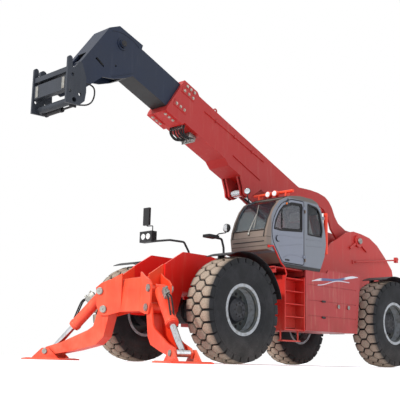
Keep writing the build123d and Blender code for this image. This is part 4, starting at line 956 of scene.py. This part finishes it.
for name, spec in seals.items():
    sealStrip(name, *spec)
creaseStrips("door_creases", "doorCreases", "door", doorGrey)
creaseStrips("panel_creases", "panelCreases", "chassis", cabGrey)

handle = {
    "place": (0.6, 1.995), "radius": 0.052, "depth": 0.016, "lever": (0.075, 0.012, 0.024),
    "slotPlace": (0.355, 1.675), "slot": (0.105, 0.01, 0.026),
}


def trimDoor():
    face = cab["doorFace"]
    x, z = handle["place"]
    cup = addDisc("handle", (x, face + 0.006, z), handle["radius"], handle["depth"], "Y", 32, 0.004)
    insetFaces(cup, toLeft, 0.01)
    extrudeFaces(cup, lambda f: f.normal.y > 0.9 and f.area > 0.004, (0, -0.012, 0), (0.85, 1, 0.85))
    lever = addBlock("lever", (x - 0.008, face + 0.014, z), handle["lever"])
    shiftFaces(lever, toFront, grow=(1, 1, 0.6))
    softenEdges(lever, 0.005)
    x, z = handle["slotPlace"]
    slot = addBlock("slot", (x, face + 0.003, z), handle["slot"], 0.004)
    insetFaces(slot, toLeft, 0.006, -0.004)
    fit("door_handle", [cup, lever, slot], "door", blackPlastic)


trimDoor()

screen = {
    "profile": [(0.888, 2.00), (0.868, 2.115), (0.798, 2.302), (0.698, 2.482), (0.568, 2.622), (0.3, 2.743)],
    "proud": 0.008, "margin": 0.05, "sealRadius": 0.008, "sealRows": (0.2, 0.98),
    "wiperArm": ((0.52, 0.1), (0.56, 0.3), (0.62, 0.5)),
    "wiperBlade": ((0.66, 0.24), (0.62, 0.5), (0.5, 0.74)),
    "rail": ((0.884, 0.8, 1.93), (0.012, 0.66, 0.014)), "sill": ((-0.05, 1.165, 1.588), (0.92, 0.035, 0.05)),
}


def onScreen(share, up, proud=0):  # share runs across the windscreen to the left, up runs to the roof
    line, margin = screen["profile"], screen["margin"]
    place = up * (len(line) - 1)
    step = min(int(place), len(line) - 2)
    (x0, z0), (x1, z1) = line[step], line[step + 1]
    part = place - step
    y = cab["innerFace"] + margin + share * (cab["doorFace"] - cab["innerFace"] - 2 * margin)
    return Vector((x0 + (x1 - x0) * part + screen["proud"] + proud, y, z0 + (z1 - z0) * part))


def trimScreen():
    last = len(screen["profile"]) - 1
    routes = [[onScreen(share, step / last) for step in range(last + 1)] for share in (0.0, 1.0)]
    routes += [[onScreen(share / 4, up) for share in range(5)] for up in screen["sealRows"]]
    strips = [bendTube("screen seal", route, screen["sealRadius"]) for route in routes]
    fit("windscreen_seal", strips, "chassis", blackRubber, 60)
    arm, blade = (bendTube(part, [onScreen(*spot, proud) for spot in screen[part]], radius)
                  for part, proud, radius in (("wiperArm", 0.018, 0.007), ("wiperBlade", 0.012, 0.008)))
    pivot = addDisc("pivot", onScreen(*screen["wiperArm"][0], 0.006), 0.02, 0.03, "X", 20, 0.004)
    fit("wiper", [arm, blade, pivot], "chassis", steelPin, 50)
    dress(addBlock("cab_front_rail", *screen["rail"], 0.004), "chassis", blackPlastic)
    sill = addBlock("cab_sill", *screen["sill"])
    shiftFaces(sill, facing((0, 0, -1)), grow=(0.97, 0.6, 1))
    softenEdges(sill, 0.008)
    dress(sill, "chassis", blackPlastic)


trimScreen()

lamps = {
    "mirrorFoot": Vector((0.585, 0.56, 2.64)), "mirrorTop": Vector((0.65, 0.565, 2.8)),
    "mirrorCentre": Vector((0.65, 0.565, 2.845)), "mirrorAim": (1, 0.45, -0.1), "mirrorRadius": 0.055,
    "bracket": [(0.33, 1.165, 2.7), (0.34, 1.196, 2.69), (0.36, 1.196, 2.62)],
    "side": ((0.36, 1.193, 2.6), (0.05, 0.024, 0.05)),
    "front": ((1.417, -1.1525, 2.125), (1.417, -1.0275, 2.125)), "frontRadius": 0.052,
    "blade": ((1.338, -1.14, 2.49), (0.006, 0.124, 0.28)),
}
roundAim = (math.cos(math.radians(38)), math.sin(math.radians(38)), 0)
lenses = {  # place, radius, axis, finish, and how far it stands out along its axis
    "work_lamp_lens_0": ((0.37, 0.77, 2.807), 0.044, "X", clearLens),
    "work_lamp_lens_1": ((0.37, 0.915, 2.807), 0.044, "X", clearLens),
    "roof_mirror_face": (lamps["mirrorCentre"], 0.0484, lamps["mirrorAim"], mirrorGlass, 0.013),
    "cab_side_lamp_lens": ((0.386, 1.193, 2.6), 0.018, "X", amberLens),
    "tail_lamp_lens": ((-4.286, 0.425, 2.2), 0.028, "X", redLens),
    # the round mirror's face takes the near-white clear lens finish: a painted reflection
    "round_mirror_face": ((0.97, 0.405, 2.19), 0.06, roundAim, clearLens, 0.017),
}


def lensDisc(name, centre, radius, axis, material, stand=0):
    if stand:
        centre = Vector(centre) + Vector(axis).normalized() * stand
    dress(addDisc(name, centre, radius, 0.014, axis, 32, 0.005, 3), "chassis", material, 50)


def trimLamps():
    foot, top = lamps["mirrorFoot"], lamps["mirrorTop"]
    stalk = bendTube("stalk", [foot, foot + Vector((0.03, 0, 0.05)), top - Vector((0, 0, 0.04)), top], 0.009)
    shell = addDisc("shell", lamps["mirrorCentre"], lamps["mirrorRadius"], 0.026, lamps["mirrorAim"], 32,
                    0.008, 3)
    fit("roof_mirror", [stalk, shell], "chassis", blackPlastic, 40)
    bracket = bendTube("bracket", lamps["bracket"], 0.008)
    fit("cab_side_lamp", [bracket, addBlock("lamp", *lamps["side"], 0.006)], "chassis", blackPlastic)
    for number, centre in enumerate(lamps["front"]):
        lamp = addDisc("front_lamp_lens_%d" % number, centre, lamps["frontRadius"], 0.016, "X", 32, 0.005, 3)
        insetFaces(lamp, toFront, 0.01, -0.003)
        dress(lamp, "chassis", clearLens, 50)
    dress(addBlock("blade_mirror_face", *lamps["blade"], 0.002), "chassis", mirrorGlass)
    for name, spec in lenses.items():
        lensDisc(name, *spec)


trimLamps()
print("cab seals, handle, wiper, lamps and mirrors")

seat = {
    "cushion": ((-0.18, 0.8, 1.99), (0.46, 0.48, 0.125)),
    "back": ((-0.372, 0.8, 2.25), (0.115, 0.44, 0.4)),
    "headrest": ((-0.372, 0.8, 2.525), (0.105, 0.3, 0.18)),
    "arm": ((-0.16, 0.568, 2.14), (0.3, 0.035, 0.05)),
    "pedestal": ((-0.18, 0.8, 1.76), (0.3, 0.3, 0.31)),
    "spine": ((-0.385, 0.8, 2.1), (0.05, 0.16, 0.3)),
    "bellows": ((1.7, 1.78, 1.86), (0.32, 0.32, 0.03)), "swell": 0.012, "voxel": 0.012, "pressure": 4,
    "frames": 20,
}


def fillCushion(pad):  # blown up as cloth, so that it crowns between its edges
    start = [vertex.co.copy() for vertex in pad.data.vertices]
    cloth = pad.modifiers.new("filling", "CLOTH")
    cloth.settings.use_pressure = True
    cloth.settings.uniform_pressure_force = seat["pressure"]
    cloth.settings.effector_weights.gravity = 0
    scene = bpy.context.scene
    for number in range(1, seat["frames"] + 1):
        scene.frame_set(number)
    shaped = pad.evaluated_get(bpy.context.evaluated_depsgraph_get()).data
    moved = [vertex.co.copy() for vertex in shaped.vertices]
    pad.modifiers.remove(cloth)
    scene.frame_set(1)
    for vertex, here, there in zip(pad.data.vertices, start, moved):
        push = there - here
        if push.length > seat["swell"]:
            push = push.normalized() * seat["swell"]
        vertex.co = here + push


def cushion(name, centre, size, material):
    pad = addBlock(name, centre, [part - 2 * seat["swell"] for part in size], min(size) * 0.28, 4)
    modify(pad, "REMESH", mode="VOXEL", voxel_size=seat["voxel"])
    fillCushion(pad)
    modify(pad, "SUBSURF", levels=1, render_levels=1)
    dress(pad, "chassis", material, 60)


def fitSeat():
    cushion("seat_cushion", *seat["cushion"], seatFabric)
    cushion("seat_back", *seat["back"], seatFabric)
    cushion("seat_headrest", *seat["headrest"], headrestCloth)
    heights, size = seat["bellows"]
    x, y, z = seat["pedestal"][0]
    parts = [addBlock("pedestal", *seat["pedestal"])]
    parts += [addBlock("bellows", (x, y, height), size, 0.01) for height in heights]
    parts += [addBlock("arm rest", *seat["arm"], 0.012, 3), addBlock("spine", *seat["spine"], 0.008)]
    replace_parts(fit("seat_stand", parts, "chassis", blackPlastic), "seat")


fitSeat()
print("seat")

legs = {"pivot": (2.598, 0.554, 0.781), "splay": math.radians(21.6), "pins": ((0, 0), (0.076, 0.277)),
        "foot": (1.008, -0.651), "face": 0.172, "footFace": 0.18, "capSize": 1.1, "footCapSize": 0.85}
legRam = {"barrel": 0.088, "gland": 0.715, "valve": 0.24, "valveSize": (0.075, 0.085, 0.17),
          "ports": ((-0.05, 0.02, 0.045), (0.0, 0.015, 0.032), (0.05, 0.022, 0.052)),
          "lines": (-0.025, 0.025), "lineRadius": 0.012,
          "bends": ((0, 0), (0.05, 0.05), (0.22, -0.01), (0.36, -0.07))}


def legAhead(side):
    return Vector((math.cos(legs["splay"]), -side * math.sin(legs["splay"]), 0))


def onLeg(side, out, up, forward=0.0):
    x, y, z = legs["pivot"]
    across = Vector((math.sin(legs["splay"]), side * math.cos(legs["splay"]), 0))
    return Vector((x, side * y, z)) + across * out + Vector((0, 0, up)) + legAhead(side) * forward


def capPins(side, name):
    ahead = legAhead(side)
    fixed = [(onLeg(side, out, up, end * legs["face"]), ahead * end, legs["capSize"])
             for out, up in legs["pins"] for end in (1, -1)]
    placed(pinCap, fixed, "leg_pin_caps_" + name, "chassis", steelPin)
    foot = [(onLeg(side, *legs["foot"], end * legs["footFace"]), ahead * end, legs["footCapSize"])
            for end in (1, -1)]
    placed(pinCap, foot, "foot_pin_caps_" + name, "stabiliser_" + name, steelPin)


def dressRam(side, name):
    ahead, top, foot = legAhead(side), onLeg(side, *legs["pins"][1]), onLeg(side, *legs["foot"])
    along = (foot - top).normalized()
    outward = along.cross(ahead).normalized()
    if outward.z < 0:
        outward = -outward
    turn = Matrix((outward.cross(along), outward, along)).transposed().to_4x4()
    body = "leg_ram_barrel_" + name
    gland = addDisc("ram_gland_" + name, (0, 0, 0), legRam["barrel"] + 0.008, 0.05, "Z", 36, 0.006)
    insetFaces(gland, upward, 0.03, -0.01)
    gland.data.transform(Matrix.Translation(top + along * legRam["gland"]) @ turn)
    dress(gland, body, legPaint)
    half = legRam["valveSize"][1] / 2
    parts = [addBlock("lock valve", (0, 0, 0), legRam["valveSize"], 0.006)]
    parts += [addDisc("port", (0, half + height / 2 - 0.002, at), radius, height, "Y", 12, 0.004)
              for at, radius, height in legRam["ports"]]
    valve = joinPieces("lock_valve_" + name, parts)
    stand = legRam["barrel"] + half - 0.012
    valve.data.transform(Matrix.Translation(top + along * legRam["valve"] + outward * stand) @ turn)
    dress(valve, body, steelPin)
    lines = []
    for shift in legRam["lines"]:
        start = top + along * (legRam["valve"] + 0.06) + outward * (stand + 0.03) + ahead * shift
        route = [start + along * a + outward * o for a, o in legRam["bends"]]
        lines.append(bendTube("ram line", route, legRam["lineRadius"]))
    fit("ram_lines_" + name, lines, body, blackRubber, 60)


for side, name in ((1, "left"), (-1, "right")):
    capPins(side, name)
    dressRam(side, name)

tank = {"face": 1.182, "plugs": ((-1.37, 1.01), (-1.07, 1.01)), "plugRadius": 0.034,
        "slots": ((-0.64, 1.07), (-0.64, 0.8)), "slot": (0.1, 0.01, 0.032)}


def trimTank():
    plugs = [addDisc("plug", (x, tank["face"] + 0.004, z), tank["plugRadius"], 0.016, "Y", 24, 0.004)
             for x, z in tank["plugs"]]
    slots = [addBlock("slot", (x, tank["face"] + 0.001, z), tank["slot"], 0.004) for x, z in tank["slots"]]
    for piece, width in [(plug, 0.009) for plug in plugs] + [(slot, 0.007) for slot in slots]:
        insetFaces(piece, toLeft, width, -0.004)
    fit("tank_plugs", plugs, "chassis", steelPin)
    fit("tank_slots", slots, "chassis", blackPlastic)


trimTank()
print("stabilisers and tank fittings")

view = {"place": (10.605, 9.287, 0.047), "heading": -135.352, "pitch": 11.241, "roll": 1.418,
        "focal": 72.54, "frame": 36}


def aimCamera(view):
    camera = bpy.data.cameras.new("camera")
    camera.lens = view["focal"]
    camera.sensor_width = view["frame"]
    holder = bringIn("camera", camera)
    heading, pitch, roll = (math.radians(view[key]) for key in ("heading", "pitch", "roll"))
    ahead = Vector((math.cos(heading) * math.cos(pitch), math.sin(heading) * math.cos(pitch),
                    math.sin(pitch)))
    turn = ahead.to_track_quat("-Z", "Y").to_matrix() @ Matrix.Rotation(roll, 3, "Z")
    holder.matrix_world = Matrix.Translation(view["place"]) @ turn.to_4x4()
    bpy.context.scene.camera = holder


aimCamera(view)
bpy.context.scene.view_settings.view_transform = "Standard"

lights = {
    "sun": {"from": (1.0, -0.12, 0.62), "strength": 2.7, "angle": 5, "colour": (1.0, 0.96, 0.9)},
    "side": {"from": (0.25, 1.0, 0.55), "strength": 0.55, "angle": 60, "colour": (0.92, 0.95, 1.0)},
}
for name, lamp in lights.items():
    light = bpy.data.lights.new(name, "SUN")
    light.energy = lamp["strength"]
    light.angle = math.radians(lamp["angle"])
    light.color = lamp["colour"]
    aim = Vector(lamp["from"]).to_track_quat("Z", "Y")
    bringIn(name, light).rotation_euler = aim.to_euler()

skyLight = {"colour": (0.86, 0.9, 1.0, 1), "strength": 0.7}


def paintSky():
    world = bpy.data.worlds.new("sky")
    world.use_nodes = True
    bpy.context.scene.world = world
    nodes, links = world.node_tree.nodes, world.node_tree.links
    sky, white = nodes["Background"], nodes.new("ShaderNodeBackground")
    for light, tint, strength in ((sky, skyLight["colour"], skyLight["strength"]), (white, (1, 1, 1, 1), 1)):
        light.inputs["Color"].default_value = tint
        light.inputs["Strength"].default_value = strength
    rays, blend = nodes.new("ShaderNodeLightPath"), nodes.new("ShaderNodeMixShader")
    seen = rays.outputs["Is Camera Ray"]
    for ray in ("Is Glossy Ray", "Is Transmission Ray"):
        either = nodes.new("ShaderNodeMath")
        either.operation = "MAXIMUM"
        links.new(seen, either.inputs[0])
        links.new(rays.outputs[ray], either.inputs[1])
        seen = either.outputs[0]
    for output, socket in ((seen, 0), (sky.outputs[0], 1), (white.outputs[0], 2)):
        links.new(output, blend.inputs[socket])
    links.new(blend.outputs[0], nodes["World Output"].inputs["Surface"])


paintSky()


def layGround():
    deselectAll()
    bpy.ops.mesh.primitive_plane_add(size=160, location=(0, 0, -0.002))
    ground = bpy.context.object
    ground.name = "ground"
    paper = Finish("white ground", Roughness=0.9)
    tone = paper.noise(paper.place(), 0.4, 2)
    paper.shade(Base_Color=paper.mix(tone, (246, 246, 246), (250, 250, 250)))
    glow = paper.add("ShaderNodeEmission", sockets={"Color": (1, 1, 1, 1), "Strength": 0.25})
    both = paper.add("ShaderNodeAddShader")
    paper.tree.links.new(paper.shader.outputs[0], both.socket.node.inputs[0])
    paper.tree.links.new(glow.socket, both.socket.node.inputs[1])
    paper.tree.links.new(both.socket, paper.tree.nodes["Material Output"].inputs["Surface"])
    ground.data.materials.append(paper.material)


layGround()
print("camera, light and ground")

for master in (bolt, pinCap):
    bpy.data.objects.remove(master)
